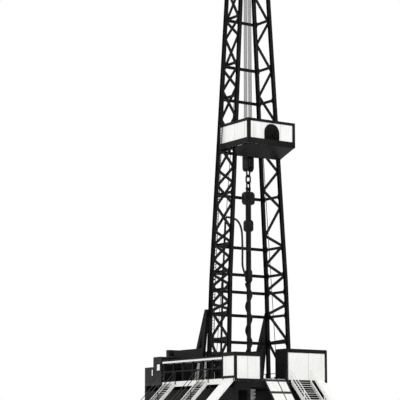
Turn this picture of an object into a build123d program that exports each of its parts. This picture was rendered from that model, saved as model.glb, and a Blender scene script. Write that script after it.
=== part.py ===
from build123d import *
import math
import os

os.makedirs("parts", exist_ok=True)

# Oil drilling rig, a scale model at 1:2, in millimetres.
# The origin is the well centre at ground level: +X to the right along the front of the floor,
# +Y from the front towards the drawworks, +Z up.

# Floor and its levels
floor_top = 4572.0
deck_thick = 140.0
floor_beam_depth = 300.0
floor_beam_width = 150.0
floor_left = -2790.0
floor_right = 2946.0
floor_front = -2700.0
floor_back = 5800.0
front_beam_bays = 2
back_beam_bays = 4

# Base frames under the floor
base_frame_thick = 200.0
base_chord = 180.0
base_girder_depth = 760.0
base_brace = 110.0
base_panels = 4
base_tie_size = 160.0
base_tie_levels = 3

# Rotary table
well_hole_dia = 700.0
rotary_bore_dia = 476.0
rotary_body_dia = 690.0
rotary_flange_dia = 860.0
rotary_flange_thick = 50.0
rotary_body_depth = 240.0
rotary_side_clear = 30.0

# Stack of preventers on the wellhead
stack_neck_dia = 560.0
stack_flange_dia = 680.0
stack_flange_thick = 80.0
stack_flange_pitch = 190.0
stack_flanges = 5
stack_clear = 0.3
preventer_dia = 880.0
preventer_heights = (260.0, 900.0, 1000.0)
preventer_low_z = 700.0
preventer_high_z = 2300.0
preventer_corner = 70.0

# Mast: half sizes of its plan between leg centres, at the floor, the splice and the crown
mast_splice_z = 9800.0
mast_crown_z = 26200.0
mast_floor_half_width = 1950.0
mast_splice_half_width = 1790.0
mast_crown_half_width = 840.0
mast_floor_half_depth = 925.0
mast_crown_half_depth = 645.0
leg_flange = 170.0
leg_depth = 180.0
leg_flange_thick = 16.0
leg_web_thick = 14.0
shoe_size = 240.0
shoe_thick = 30.0

# Mast bracing, with the heights above the floor at which its bars meet the legs
brace_width = 140.0
brace_thick = 70.0
brace_clear = 0.1
brace_foot_clear = 5.0
gusset_width = 240.0
gusset_height = 280.0
girt_height = 160.0
girt_thick = 70.0
front_node_heights = (2158.0, 4004.0, 5542.0, 7142.0, 9183.0, 11101.0, 13868.0, 16552.0, 19262.0)
back_node_heights = (2078.0, 3626.0, 4914.0, 6315.0, 7833.0, 10288.0, 12434.0, 15431.0, 18291.0, 20952.0)
level_heights = (2047.0, 3459.0, 4707.0, 5633.0, 7068.0, 9776.0, 12125.0, 14992.0, 16804.0, 19375.0, 21500.0)

# Ladder on the outside of the left mast side
ladder_y = 250.0
ladder_width = 230.0
ladder_rail = 28.0
ladder_depth = 30.0
ladder_rung = 24.0
ladder_pitch = 150.0
ladder_standoff = 190.0
ladder_end_gap = 40.0
ladder_lug = 60.0

# Houses on the front edge of the floor
wall_thick = 50.0
house_skirt_z = 4432.0
doghouse_left = -2840.0
doghouse_right = -1180.0
doghouse_depth = 1100.0
doghouse_top = 5880.0
right_house_left = 345.0
right_house_right = 2996.0
right_house_depth = 870.0
right_house_top = 6139.0
doorway_width = 450.0
doorway_height = 1020.0
doorway_side = 260.0

# Open porch along the left edge of the floor
porch_roof_bottom = 5560.0
porch_roof_thick = 60.0
porch_fascia_height = 170.0
porch_fascia_thick = 50.0
porch_inner_x = -2170.0
porch_back = 3950.0
porch_post = 80.0
porch_posts = 7
porch_rail_z = 5060.0
floor_fascia_bottom = 4300.0

# Rear cabin, lower at its far end
cabin_inner_x = -1760.0
cabin_front = 4150.0
cabin_step_y = 4950.0
cabin_high_z = 5950.0
cabin_low_z = 5420.0
cabin_corner = 60.0

# Racking board
board_z = 16930.0
board_thick = 90.0
board_side_clear = 16.0
board_front = -2090.0
board_wall_height = 1150.0
board_wall_thick = 30.0
board_skirt = 180.0
board_side_back = 500.0
board_strip_inner = 900.0
board_arch_width = 950.0
board_arch_height = 950.0
board_knee_drop = 630.0
board_knee_size = 90.0
finger_walk_half = 230.0
finger_gap = 60.0
finger_pitch = 150.0
finger_rows = 7
finger_margin = 150.0

# Crown
crown_beam = 180.0
crown_overhang = 260.0
crown_bearing_x = 330.0
crown_bearing_half_depth = 170.0
crown_sheave_lift = 330.0

# Sheaves and lines
sheave_dia = 470.0
sheave_groove_depth = 34.0
sheave_groove_width = 48.0
sheave_pitch = 62.0
sheave_thick = 58.0
sheave_shaft_dia = 100.0
block_sheaves = 4
line_dia = 34.0
line_clear = 0.3

# Raking frames behind the mast
aframe_top_z = 7950.0
aframe_front_foot = 1550.0
aframe_back_foot = 2450.0
aframe_bar = 170.0
aframe_leg_gap = 0.3
aframe_tie_z = 5820.0
aframe_tie_depth = 460.0
aframe_post_y = 3900.0

# Drawworks
drawworks_front = 2050.0
drawworks_back = 3500.0
drawworks_top = 5600.0
drawworks_skid = 120.0
drawworks_case_thick = 480.0
drawworks_corner = 240.0
drum_length = 1540.0
drum_dia = 520.0
drum_flange_dia = 900.0
drum_flange_thick = 50.0
drum_axis_y = 2650.0
drum_axis_z = 5150.0
drum_shaft_dia = 160.0
drum_shaft_clear = 20.0

# Engines
engine_count = 3
engine_spacing = 1150.0
engine_width = 620.0
engine_front = 4050.0
engine_length = 1500.0
engine_skid = 110.0
engine_height = 1330.0
engine_chamfer = 160.0
radiator_length = 260.0
radiator_width = 860.0
radiator_height = 1830.0
muffler_dia = 260.0
muffler_length = 800.0
muffler_lift = 220.0
exhaust_dia = 120.0

# Travelling block, links, hook and swivel, at the height that the photograph shows
block_bottom_z = 15640.0
block_top_z = 17020.0
block_depth = 460.0
block_cheek_thick = 90.0
block_shaft_drop = 420.0
block_pin_lift = 90.0
pin_dia = 80.0
block_spacer_height = 230.0
link_bar = 90.0
link_height = 447.0
link_width = 260.0
link_count = 3
link_clear = 0.3
hook_top_z = 14560.0
hook_bottom_z = 13860.0
hook_width = 700.0
hook_thick = 220.0
hook_corner = 190.0
hook_ear_thick = 40.0
hook_ear_width = 150.0
slit_height = 380.0
slit_width = 90.0
slit_shift = -120.0
shank_dia = 300.0
bail_top_z = 13060.0
bail_bottom_z = 12420.0
bail_width = 500.0
bail_corner = 170.0
bail_slit_width = 80.0
stem_dia = 280.0
swivel_top_z = 10420.0
swivel_neck_z = 10300.0
swivel_waist_z = 9860.0
swivel_bottom_z = 9700.0
swivel_dia = 400.0
swivel_foot_dia = 250.0
nozzle_length = 240.0

# Spiral kelly: a round core with one rib that winds round it
spiral_core_dia = 230.0
spiral_rib_dia = 210.0
spiral_rib_offset = 95.0
spiral_lead = 1250.0
spiral_bottom_z = 4200.0

# Rotary hose and standpipe
hose_dia = 110.0
standpipe_dia = 110.0
standpipe_clamp = 40.0
standpipe_clamp_width = 130.0
standpipe_flange_dia = 220.0
standpipe_flange_thick = 24.0
standpipe_bend = 2000.0
gooseneck_radius = 130.0
gooseneck_clear = 4.0
arc_share = 0.45

# Stairs, ramp and slides
stair_rise = 114.3
stair_going = 114.3
stringer_thick = 50.0
stringer_depth = 240.0
tread_thick = 24.0
tread_depth = 110.0
left_stair_width = 900.0
right_stair_width = 1150.0
right_stair_x = 1310.0
left_stair_ys = (120.0, 3200.0)
chute_thick = 90.0
chute_flange_thick = 50.0
chute_flange_height = 170.0
ramp_left = -960.0
ramp_right = 290.0
ramp_divider_x = -210.0
ramp_run = 3500.0
slide_run = 4572.0
left_slide_y = -2210.0
left_slide_width = 700.0
right_slide_x = 2530.0
right_slide_width = 420.0

# Handrails
rail_height = 540.0
rail_bar = 36.0
rail_post_spacing = 1100.0
rail_lap = 150.0
rail_clear = 0.3
crown_rail_height = 520.0

# Fast line to the drum and dead line to its anchor
anchor_x = 1350.0
anchor_y = -640.0
anchor_size = 220.0
anchor_height = 260.0

deck_bottom = floor_top - deck_thick
base_top = deck_bottom - floor_beam_depth
porch_roof_top = porch_roof_bottom + porch_roof_thick
block_shaft_z = block_top_z - block_shaft_drop
line_offset = sheave_dia / 2 - sheave_groove_depth + line_dia / 2 + line_clear
crown_top = mast_crown_z + crown_beam
crown_shaft_z = crown_top + crown_sheave_lift


def finish(piece, name):
    piece.part.label = name
    export_step(piece.part, f"parts/{name}.step")


def between(start, end, share):
    return start + (end - start) * share


def slab(x_span, y_span, z_span, mode=Mode.ADD):
    """A block between two opposite corners, given as a low and a high value on each axis."""
    x_size = x_span[1] - x_span[0]
    y_size = y_span[1] - y_span[0]
    z_size = z_span[1] - z_span[0]
    with Locations(((x_span[0] + x_span[1]) / 2, (y_span[0] + y_span[1]) / 2, z_span[0])):
        Box(x_size, y_size, z_size, align=(Align.CENTER, Align.CENTER, Align.MIN), mode=mode)


def around(centre, size):
    """The low and high value of a size about its centre."""
    return (centre - size / 2, centre + size / 2)


def lengthwise(x):
    """An upright plane that faces +X, with Y and Z as its own directions."""
    return Plane(origin=(x, 0, 0), x_dir=(0, 1, 0), z_dir=(1, 0, 0))


def crosswise(y):
    """An upright plane that faces the front, with X and Z as its own directions."""
    return Plane(origin=(0, y, 0), x_dir=(1, 0, 0), z_dir=(0, -1, 0))


def mast_half_width(z):
    """Half the distance between leg centres along X at a height."""
    if z <= mast_splice_z:
        share = (z - floor_top) / (mast_splice_z - floor_top)
        return between(mast_floor_half_width, mast_splice_half_width, share)
    share = (z - mast_splice_z) / (mast_crown_z - mast_splice_z)
    return between(mast_splice_half_width, mast_crown_half_width, share)


def mast_half_depth(z):
    """Half the distance between leg centres along Y at a height."""
    share = (z - floor_top) / (mast_crown_z - floor_top)
    return between(mast_floor_half_depth, mast_crown_half_depth, share)


board_half_width = mast_half_width(board_z) + leg_flange / 2 + board_side_clear

# Base frames: four upright trusses from front to back, each with a deep girder at its top
frame_spots = {
    "left_outer_base_frame": floor_left + base_frame_thick / 2,
    "left_inner_base_frame": -mast_floor_half_width,
    "right_inner_base_frame": mast_floor_half_width,
    "right_outer_base_frame": floor_right - base_frame_thick / 2,
}
for name, x in frame_spots.items():
    low = (floor_front + base_chord / 2, base_chord / 2)
    high = (floor_back - base_chord / 2, base_top - base_girder_depth + base_chord / 2)
    panel = (high[0] - low[0]) / base_panels
    middle = (floor_front + floor_back) / 2
    with BuildPart() as base_frame:
        with BuildSketch(lengthwise(x)):
            with BuildLine():
                for post in range(base_panels):
                    y = low[0] + post * panel
                    rising = post % 2 == 0
                    start_z, end_z = (low[1], high[1]) if rising else (high[1], low[1])
                    Line((y, start_z), (y + panel, end_z))
            trace(line_width=base_brace)
            with Locations(*[(low[0] + post * panel, base_top / 2) for post in range(base_panels + 1)]):
                Rectangle(base_chord, base_top)
            with Locations((middle, base_chord / 2)):
                Rectangle(floor_back - floor_front, base_chord)
            with Locations((middle, base_top - base_girder_depth / 2)):
                Rectangle(floor_back - floor_front, base_girder_depth)
            with Locations((middle, base_top / 2)):
                Rectangle(floor_back - floor_front, base_top, mode=Mode.INTERSECT)
        extrude(amount=base_frame_thick / 2, both=True)
    finish(base_frame, name)

# Ties between each outer frame and its inner frame, at the front, the middle and the back
with BuildPart() as base_ties:
    left_gap = (floor_left + base_frame_thick, -mast_floor_half_width - base_frame_thick / 2)
    right_gap = (mast_floor_half_width + base_frame_thick / 2, floor_right - base_frame_thick)
    tie_rise = (base_top - base_tie_size) / base_tie_levels
    for gap in (left_gap, right_gap):
        for y in (floor_front, (floor_front + floor_back - base_tie_size) / 2, floor_back - base_tie_size):
            for level in range(base_tie_levels + 1):
                z = level * tie_rise
                slab(gap, (y, y + base_tie_size), (z, z + base_tie_size))
finish(base_ties, "base_ties")

# Floor beams across the frames, with a pair close beside the rotary table
with BuildPart() as floor_beams:
    pair_y = rotary_body_dia / 2 + rotary_side_clear
    front_step = (-pair_y - floor_beam_width - floor_front) / front_beam_bays
    back_step = (floor_back - floor_beam_width - pair_y) / back_beam_bays
    beam_ys = [floor_front + row * front_step for row in range(front_beam_bays + 1)]
    beam_ys += [pair_y + row * back_step for row in range(back_beam_bays + 1)]
    for y in beam_ys:
        slab((floor_left, floor_right), (y, y + floor_beam_width), (base_top, deck_bottom))
finish(floor_beams, "floor_beams")

# Deck with the well hole
with BuildPart() as drill_floor:
    slab((floor_left, floor_right), (floor_front, floor_back), (deck_bottom, floor_top))
    with BuildSketch(Plane.XY.offset(floor_top)):
        Circle(well_hole_dia / 2)
    extrude(amount=-deck_thick, mode=Mode.SUBTRACT)
finish(drill_floor, "drill_floor")

# Rotary table: a flange on the deck and a body through it, with one bore
with BuildPart() as rotary_table:
    with BuildSketch(Plane.XY.offset(floor_top)):
        Circle(rotary_flange_dia / 2)
        Circle(rotary_bore_dia / 2, mode=Mode.SUBTRACT)
    extrude(amount=rotary_flange_thick)
    with BuildSketch(Plane.XY.offset(floor_top)):
        Circle(rotary_body_dia / 2)
        Circle(rotary_bore_dia / 2, mode=Mode.SUBTRACT)
    extrude(amount=-rotary_body_depth)
finish(rotary_table, "rotary_table")


# Stack of preventers on the wellhead, turned, with an open bore that the string runs through
with BuildPart() as preventer_stack:
    stack_top = floor_top - rotary_body_depth - stack_clear
    wall = stack_neck_dia / 2 - rotary_bore_dia / 2
    with BuildSketch(crosswise(0)):
        with Locations((rotary_bore_dia / 2, 0)):
            Rectangle(wall, stack_top, align=(Align.MIN, Align.MIN))
        rim = (stack_flange_dia - rotary_bore_dia) / 2
        for flange in range(stack_flanges):
            with Locations((rotary_bore_dia / 2, stack_top - flange * stack_flange_pitch)):
                Rectangle(rim, stack_flange_thick, align=(Align.MIN, Align.MAX))
        for z, height in zip((0, preventer_low_z, preventer_high_z), preventer_heights):
            with Locations((rotary_bore_dia / 2, z)):
                bulge = (preventer_dia - rotary_bore_dia) / 2
                Rectangle(bulge, height, align=(Align.MIN, Align.MIN))
    revolve(axis=Axis.Z)
    fillet(
        preventer_stack.edges().filter_by(GeomType.CIRCLE).filter_by(
            lambda edge: math.isclose(edge.radius, preventer_dia / 2)
        ),
        radius=preventer_corner,
    )
finish(preventer_stack, "preventer_stack")


# Houses: each has a front wall that hangs over the deck's edge, two side walls, a back wall
# with a doorway to the floor, and a roof
def house(name, left, right, depth, top, doorway_x):
    front = floor_front - wall_thick
    back = front + depth
    wall_top = top - wall_thick
    with BuildPart() as front_wall:
        slab((left, right), (front, front + wall_thick), (house_skirt_z, wall_top))
    finish(front_wall, f"{name}_front_wall")
    with BuildPart() as side_walls:
        for x in (left, right - wall_thick):
            slab((x, x + wall_thick), (front + wall_thick, back - wall_thick), (floor_top, wall_top))
    finish(side_walls, f"{name}_side_walls")
    with BuildPart() as back_wall:
        slab((left, right), (back - wall_thick, back), (floor_top, wall_top))
        slab(
            around(doorway_x, doorway_width),
            (back - wall_thick, back),
            (floor_top, floor_top + doorway_height),
            mode=Mode.SUBTRACT,
        )
    finish(back_wall, f"{name}_back_wall")
    with BuildPart() as roof:
        slab((left, right), (front, back), (wall_top, top))
    finish(roof, f"{name}_roof")


house(
    "doghouse",
    doghouse_left,
    doghouse_right,
    doghouse_depth,
    doghouse_top,
    doghouse_right - doorway_side - doorway_width / 2,
)
house(
    "right_house",
    right_house_left,
    right_house_right,
    right_house_depth,
    right_house_top,
    right_house_left + doorway_side + doorway_width / 2,
)

# Porch: a roof with a deep fascia, on two rows of posts, the outer row with a rail
porch_front = floor_front - wall_thick + doghouse_depth
with BuildPart() as porch_roof:
    slab(
        (floor_left, porch_inner_x),
        (porch_front, porch_back),
        (porch_roof_bottom, porch_roof_top),
    )
    slab(
        (floor_left - porch_fascia_thick, floor_left),
        (porch_front, porch_back),
        (porch_roof_bottom, porch_roof_bottom + porch_fascia_height),
    )
finish(porch_roof, "porch_roof")

with BuildPart() as porch_post_rows:
    post_step = (porch_back - porch_front - porch_post) / (porch_posts - 1)
    for post in range(porch_posts):
        y = porch_front + post * post_step
        for x in (floor_left, porch_inner_x - porch_post):
            slab((x, x + porch_post), (y, y + porch_post), (floor_top, porch_roof_bottom))
    slab(
        (floor_left, floor_left + porch_post),
        (porch_front, porch_back),
        (porch_rail_z, porch_rail_z + porch_post),
    )
finish(porch_post_rows, "porch_posts")

with BuildPart() as floor_fascia:
    slab(
        (floor_left - porch_fascia_thick, floor_left),
        (porch_front, porch_back),
        (floor_fascia_bottom, floor_top),
    )
finish(floor_fascia, "floor_fascia")

# Rear cabin: a closed machine housing
with BuildPart() as rear_cabin:
    with BuildSketch(lengthwise(floor_left)):
        with BuildLine():
            Polyline(
                (cabin_front, floor_top),
                (cabin_front, cabin_high_z),
                (cabin_step_y, cabin_high_z),
                (cabin_step_y, cabin_low_z),
                (floor_back, cabin_low_z),
                (floor_back, floor_top),
                close=True,
            )
        make_face()
    extrude(amount=cabin_inner_x - floor_left)
    fillet(rear_cabin.edges().filter_by(Axis.X).group_by(Axis.Z)[-1], radius=cabin_corner)
finish(rear_cabin, "rear_cabin")

# Mast legs: wide-flange bars on shoes, which lean in more steeply above the splice
leg_spots = {
    "mast_leg_front_left": (-1, -1),
    "mast_leg_front_right": (1, -1),
    "mast_leg_back_left": (-1, 1),
    "mast_leg_back_right": (1, 1),
}
for name, (x_side, y_side) in leg_spots.items():
    with BuildPart() as mast_leg:
        for z in (floor_top, mast_splice_z, mast_crown_z):
            with BuildSketch(Plane.XY.offset(z)):
                with Locations((x_side * mast_half_width(z), y_side * mast_half_depth(z))):
                    Rectangle(leg_web_thick, leg_depth)
                    with GridLocations(0, leg_depth - leg_flange_thick, 1, 2):
                        Rectangle(leg_flange, leg_flange_thick)
        loft(ruled=True)
        with BuildSketch(Plane.XY.offset(floor_top)):
            with Locations((x_side * mast_floor_half_width, y_side * mast_floor_half_depth)):
                Rectangle(shoe_size, shoe_size)
        extrude(amount=shoe_thick)
    finish(mast_leg, name)


# Mast sides: flat trusses between the leg flanges, in one plane below the splice and one above
mast_sections = ((floor_top, mast_splice_z), (mast_splice_z, mast_crown_z))


def side_plane(side, low_z, high_z):
    """The plane of one side: its own directions are Y and the slope, and it faces +X."""
    low_x = mast_half_width(low_z)
    high_x = mast_half_width(high_z)
    return Plane(
        origin=(side * low_x, 0, low_z),
        x_dir=(0, 1, 0),
        z_dir=(high_z - low_z, 0, side * (low_x - high_x)),
    )


def slope_length(low_z, high_z):
    return math.hypot(high_z - low_z, mast_half_width(low_z) - mast_half_width(high_z))


def up_slope(z, low_z, high_z):
    return (z - low_z) / (high_z - low_z) * slope_length(low_z, high_z)


def side_truss(name, side, line_sets):
    """A flat truss. Each line is a pair of points, and each point is a side of the mast
    (-1 front, 1 back) and a height above the floor."""
    with BuildPart() as truss:
        for low_z, high_z in mast_sections:

            def spot(y_side, height):
                z = floor_top + height
                return (y_side * (mast_half_depth(z) - leg_depth / 2), up_slope(z, low_z, high_z))

            foot = shoe_thick + brace_foot_clear if low_z == floor_top else 0
            low_y = mast_half_depth(low_z + foot) - leg_depth / 2 - brace_clear
            high_y = mast_half_depth(high_z) - leg_depth / 2 - brace_clear
            for lines in line_sets:
                inside = [line for line in lines if low_z <= floor_top + max(line[0][1], line[1][1])]
                inside = [line for line in inside if floor_top + min(line[0][1], line[1][1]) <= high_z]
                with BuildSketch(side_plane(side, low_z, high_z)):
                    with BuildLine():
                        for start, end in inside:
                            Line(spot(*start), spot(*end))
                    trace(line_width=brace_width)
                    with Locations(*{spot(*point) for line in inside for point in line}):
                        Rectangle(gusset_width, gusset_height)
                    with BuildLine():
                        Polyline(
                            (-low_y, foot),
                            (low_y, foot),
                            (high_y, slope_length(low_z, high_z)),
                            (-high_y, slope_length(low_z, high_z)),
                            close=True,
                        )
                    make_face(mode=Mode.INTERSECT)
                extrude(amount=brace_thick / 2, both=True)
    finish(truss, name)


corners = [(-1, 0.0)]
for back_height, front_height in zip(back_node_heights, front_node_heights):
    corners += [(1, back_height), (-1, front_height)]
corners.append((1, back_node_heights[-1]))
zigzag = list(zip(corners, corners[1:]))
mirror_zigzag = [((-start[0], start[1]), (-end[0], end[1])) for start, end in zigzag]
levels = [((-1, height), (1, height)) for height in level_heights]
side_truss("mast_side_right", 1, (zigzag, levels))
side_truss("mast_side_left", -1, (zigzag, mirror_zigzag, levels))

# Back girts between the webs of the back legs
with BuildPart() as mast_back_girts:
    for height in level_heights:
        z = floor_top + height
        low_x = mast_half_width(z - girt_height / 2) - leg_web_thick / 2
        high_x = mast_half_width(z + girt_height / 2) - leg_web_thick / 2
        with BuildSketch(crosswise(mast_half_depth(z))):
            with BuildLine():
                Polyline(
                    (-low_x, z - girt_height / 2),
                    (low_x, z - girt_height / 2),
                    (high_x, z + girt_height / 2),
                    (-high_x, z + girt_height / 2),
                    close=True,
                )
            make_face()
        extrude(amount=girt_thick / 2, both=True)
finish(mast_back_girts, "mast_back_girts")

# Ladder with standoff lugs that seat on the level bars of the left side
with BuildPart() as mast_ladder:
    for low_z, high_z in mast_sections:
        face = side_plane(-1, low_z, high_z).offset(-brace_thick / 2 - ladder_standoff)
        foot = porch_roof_top - floor_top + ladder_end_gap if low_z == floor_top else 0
        head = ladder_end_gap if high_z == mast_crown_z else 0
        length = slope_length(low_z, high_z) - foot - head
        rungs = int(length // ladder_pitch)
        with BuildSketch(face):
            with Locations((ladder_y, foot + length / 2)):
                Rectangle(ladder_width, length)
                with GridLocations(0, ladder_pitch, 1, rungs):
                    Rectangle(ladder_width - ladder_rail * 2, ladder_pitch - ladder_rung, mode=Mode.SUBTRACT)
        extrude(amount=-ladder_depth)
        lug_zs = [floor_top + height for height in level_heights]
        lug_zs = [z for z in lug_zs if low_z + foot < z < high_z]
        with BuildSketch(face):
            with Locations(*[(ladder_y, up_slope(z, low_z, high_z)) for z in lug_zs]):
                with GridLocations(ladder_width - ladder_rail, 0, 2, 1):
                    Rectangle(ladder_rail, ladder_lug)
        extrude(amount=ladder_standoff)
finish(mast_ladder, "mast_ladder")

# Crown: a frame of beams on the legs, two bearings and the sheave cluster above the well
crown_half_x = mast_crown_half_width + crown_overhang
crown_half_y = mast_crown_half_depth + crown_overhang
with BuildPart() as crown_frame:
    for y_side in (-1, 1):
        for y in (mast_crown_half_depth, crown_half_y - crown_beam / 2):
            slab(
                (-crown_half_x, crown_half_x),
                around(y_side * y, crown_beam),
                (mast_crown_z, crown_top),
            )
    for x_side in (-1, 1):
        for x in (crown_half_x - crown_beam / 2, crown_bearing_x):
            slab(
                around(x_side * x, crown_beam),
                (-crown_half_y, crown_half_y),
                (mast_crown_z, crown_top),
            )
finish(crown_frame, "crown_frame")

with BuildPart() as crown_bearings:
    for x_side in (-1, 1):
        with BuildSketch(lengthwise(x_side * crown_bearing_x)):
            with BuildLine():
                Polyline(
                    (-crown_bearing_half_depth, crown_top),
                    (crown_bearing_half_depth, crown_top),
                    (crown_bearing_half_depth / 2, crown_shaft_z + sheave_shaft_dia),
                    (-crown_bearing_half_depth / 2, crown_shaft_z + sheave_shaft_dia),
                    close=True,
                )
            make_face()
            with Locations((0, crown_shaft_z)):
                Circle(sheave_shaft_dia / 2, mode=Mode.SUBTRACT)
        extrude(amount=crown_beam / 2, both=True)
finish(crown_bearings, "crown_bearings")


def sheave_cluster(count, z, shaft_half):
    """Grooved sheaves side by side on one shaft, turned about an axis along X at height z."""
    rim = sheave_dia / 2
    with BuildPart() as cluster:
        with BuildSketch(crosswise(0)):
            with Locations((0, z)):
                Rectangle(shaft_half * 2, sheave_shaft_dia / 2, align=(Align.CENTER, Align.MIN))
            for sheave in range(count):
                x = (sheave - (count - 1) / 2) * sheave_pitch
                with Locations((x, z)):
                    Rectangle(sheave_thick, rim, align=(Align.CENTER, Align.MIN))
                with Locations((x, z + rim)):
                    Rectangle(
                        sheave_groove_width,
                        sheave_groove_depth,
                        align=(Align.CENTER, Align.MAX),
                        mode=Mode.SUBTRACT,
                    )
        revolve(axis=Axis((0, 0, z), (1, 0, 0)))
    return cluster.part


with BuildPart() as crown_sheaves:
    add(sheave_cluster(block_sheaves + 1, crown_shaft_z, crown_bearing_x + crown_beam / 2))
finish(crown_sheaves, "crown_sheaves")


def railing(plane, length, fall=0.0, height=rail_height, lap=0.0):
    """Posts with a top rail and a middle rail, in a plane whose own directions are along the
    run and up. The run starts at the plane's origin and goes down by fall at its end."""
    posts = math.ceil(length / rail_post_spacing)
    inset = rail_bar / 2
    with BuildPart() as rails:
        with BuildSketch(plane):
            for post in range(posts + 1):
                x = between(inset, length - inset, post / posts)
                with Locations((x, -fall * x / length - lap)):
                    Rectangle(rail_bar, height - inset + lap, align=(Align.CENTER, Align.MIN))
            for lift in (height / 2, height - rail_bar):
                with BuildLine():
                    Polyline(
                        (0, lift),
                        (length, lift - fall),
                        (length, lift - fall + rail_bar),
                        (0, lift + rail_bar),
                        close=True,
                    )
                make_face()
        extrude(amount=rail_bar / 2, both=True)
    return rails.part


with BuildPart() as crown_rails:
    for y_side in (-1, 1):
        y = y_side * (crown_half_y - rail_bar / 2)
        plane = Plane(origin=(-crown_half_x, y, crown_top), x_dir=(1, 0, 0), z_dir=(0, -1, 0))
        add(railing(plane, crown_half_x * 2, height=crown_rail_height))
    for x_side in (-1, 1):
        x = x_side * (crown_half_x - rail_bar / 2)
        half = crown_half_y - rail_bar - rail_clear
        plane = Plane(origin=(x, -half, crown_top), x_dir=(0, 1, 0), z_dir=(1, 0, 0))
        add(railing(plane, half * 2, height=crown_rail_height))
finish(crown_rails, "crown_rails")

# Racking board: a deck in front of the mast, slotted into fingers, with a strip inside each side
mast_front_at_board = -mast_half_depth(board_z) - leg_depth / 2
mast_back_at_board = mast_half_depth(board_z + board_thick) - leg_depth / 2
strip_outer = mast_half_width(board_z + board_thick) - leg_flange / 2 - brace_thick
with BuildPart() as racking_board:
    slab(
        (-board_half_width, board_half_width),
        (board_front, mast_front_at_board),
        (board_z, board_z + board_thick),
    )
    for x_side in (-1, 1):
        spans = sorted((x_side * board_strip_inner, x_side * strip_outer))
        slab(spans, (mast_front_at_board, mast_back_at_board), (board_z, board_z + board_thick))
    slot_length = board_half_width - finger_margin - finger_walk_half
    slot_x = finger_walk_half + slot_length / 2
    with BuildSketch(Plane.XY.offset(board_z)):
        with Locations((0, (board_front + mast_front_at_board) / 2)):
            with GridLocations(slot_x * 2, finger_pitch, 2, finger_rows):
                Rectangle(slot_length, finger_gap)
    extrude(amount=board_thick, mode=Mode.SUBTRACT)
finish(racking_board, "racking_board")

board_wall_top = board_z + board_wall_height
with BuildPart() as board_front_wall:
    arch_radius = board_arch_width / 2
    with BuildSketch(crosswise(board_front)):
        with Locations((0, board_z - board_skirt)):
            Rectangle(
                (board_half_width + board_wall_thick) * 2,
                board_wall_height + board_skirt,
                align=(Align.CENTER, Align.MIN),
            )
        with Locations((0, board_z + board_arch_height - arch_radius)):
            Circle(arch_radius, mode=Mode.SUBTRACT)
        with Locations((0, board_z)):
            Rectangle(
                board_arch_width,
                board_arch_height - arch_radius,
                align=(Align.CENTER, Align.MIN),
                mode=Mode.SUBTRACT,
            )
    extrude(amount=board_wall_thick)
finish(board_front_wall, "board_front_wall")

with BuildPart() as board_side_walls:
    for x_side in (-1, 1):
        spans = sorted((x_side * board_half_width, x_side * (board_half_width + board_wall_thick)))
        slab(spans, (board_front, board_side_back), (board_z - board_skirt, board_wall_top))
finish(board_side_walls, "board_side_walls")

with BuildPart() as board_knees:
    for x_side in (-1, 1):
        foot_z = board_z - board_knee_drop
        foot_y = -mast_half_depth(foot_z) - leg_depth / 2
        with BuildSketch(lengthwise(x_side * mast_half_width(foot_z))):
            with BuildLine():
                Polyline(
                    (foot_y, foot_z),
                    (foot_y - board_knee_size, foot_z),
                    (board_front, board_z),
                    (board_front + board_knee_size * 2, board_z),
                    (foot_y, foot_z + board_knee_size * 2),
                    close=True,
                )
            make_face()
        extrude(amount=board_knee_size / 2, both=True)
finish(board_knees, "board_knees")

# Raking frames behind the mast that take its pull, seated on the back legs
for name, x_side in {"aframe_left": -1, "aframe_right": 1}.items():
    top_y = mast_half_depth(aframe_top_z) + leg_depth / 2 + aframe_leg_gap
    crest = aframe_top_z + aframe_bar * 2
    with BuildPart() as aframe:
        with BuildSketch(lengthwise(x_side * mast_floor_half_width)):
            for foot_y in (aframe_front_foot, aframe_back_foot):
                with BuildLine():
                    Polyline(
                        (top_y, aframe_top_z),
                        (top_y, crest),
                        (top_y + aframe_bar, crest),
                        (foot_y + aframe_bar, floor_top),
                        (foot_y, floor_top),
                        close=True,
                    )
                make_face()
            tie_top = aframe_tie_z + aframe_tie_depth
            tie_share = (aframe_tie_z - floor_top) / (aframe_top_z - floor_top)
            tie_y = between(aframe_front_foot, top_y, tie_share)
            with BuildLine():
                Polyline(
                    (tie_y + aframe_bar / 2, aframe_tie_z),
                    (aframe_post_y, aframe_tie_z),
                    (aframe_post_y, floor_top),
                    (aframe_post_y + aframe_bar, floor_top),
                    (aframe_post_y + aframe_bar, tie_top),
                    (tie_y + aframe_bar / 2, tie_top),
                    close=True,
                )
            make_face()
        extrude(amount=aframe_bar / 2, both=True)
    finish(aframe, name)

# Drawworks: a skid with two rounded side cases, and the drum between them
case_x = drum_length / 2
with BuildPart() as drawworks:
    for x_side in (-1, 1):
        with BuildSketch(lengthwise(x_side * (case_x + drawworks_case_thick / 2))):
            with BuildLine():
                Polyline(
                    (drawworks_front, floor_top),
                    (drawworks_back, floor_top),
                    (drawworks_back, drawworks_top),
                    (drawworks_front, drawworks_top),
                    close=True,
                )
            make_face()
            fillet(vertices().group_by(Axis.Y)[-1], radius=drawworks_corner)
        extrude(amount=drawworks_case_thick / 2, both=True)
    slab((-case_x, case_x), (drawworks_front, drawworks_back), (floor_top, floor_top + drawworks_skid))
finish(drawworks, "drawworks")

with BuildPart() as drawworks_drum:
    half = case_x - drum_shaft_clear
    with BuildSketch(crosswise(drum_axis_y)):
        with Locations((0, drum_axis_z)):
            Rectangle(half * 2, drum_dia / 2, align=(Align.CENTER, Align.MIN))
            Rectangle(case_x * 2, drum_shaft_dia / 2, align=(Align.CENTER, Align.MIN))
            with GridLocations(half * 2 - drum_flange_thick, 0, 2, 1):
                Rectangle(drum_flange_thick, drum_flange_dia / 2, align=(Align.CENTER, Align.MIN))
    revolve(axis=Axis((0, drum_axis_y, drum_axis_z), (1, 0, 0)))
finish(drawworks_drum, "drawworks_drum")

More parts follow.
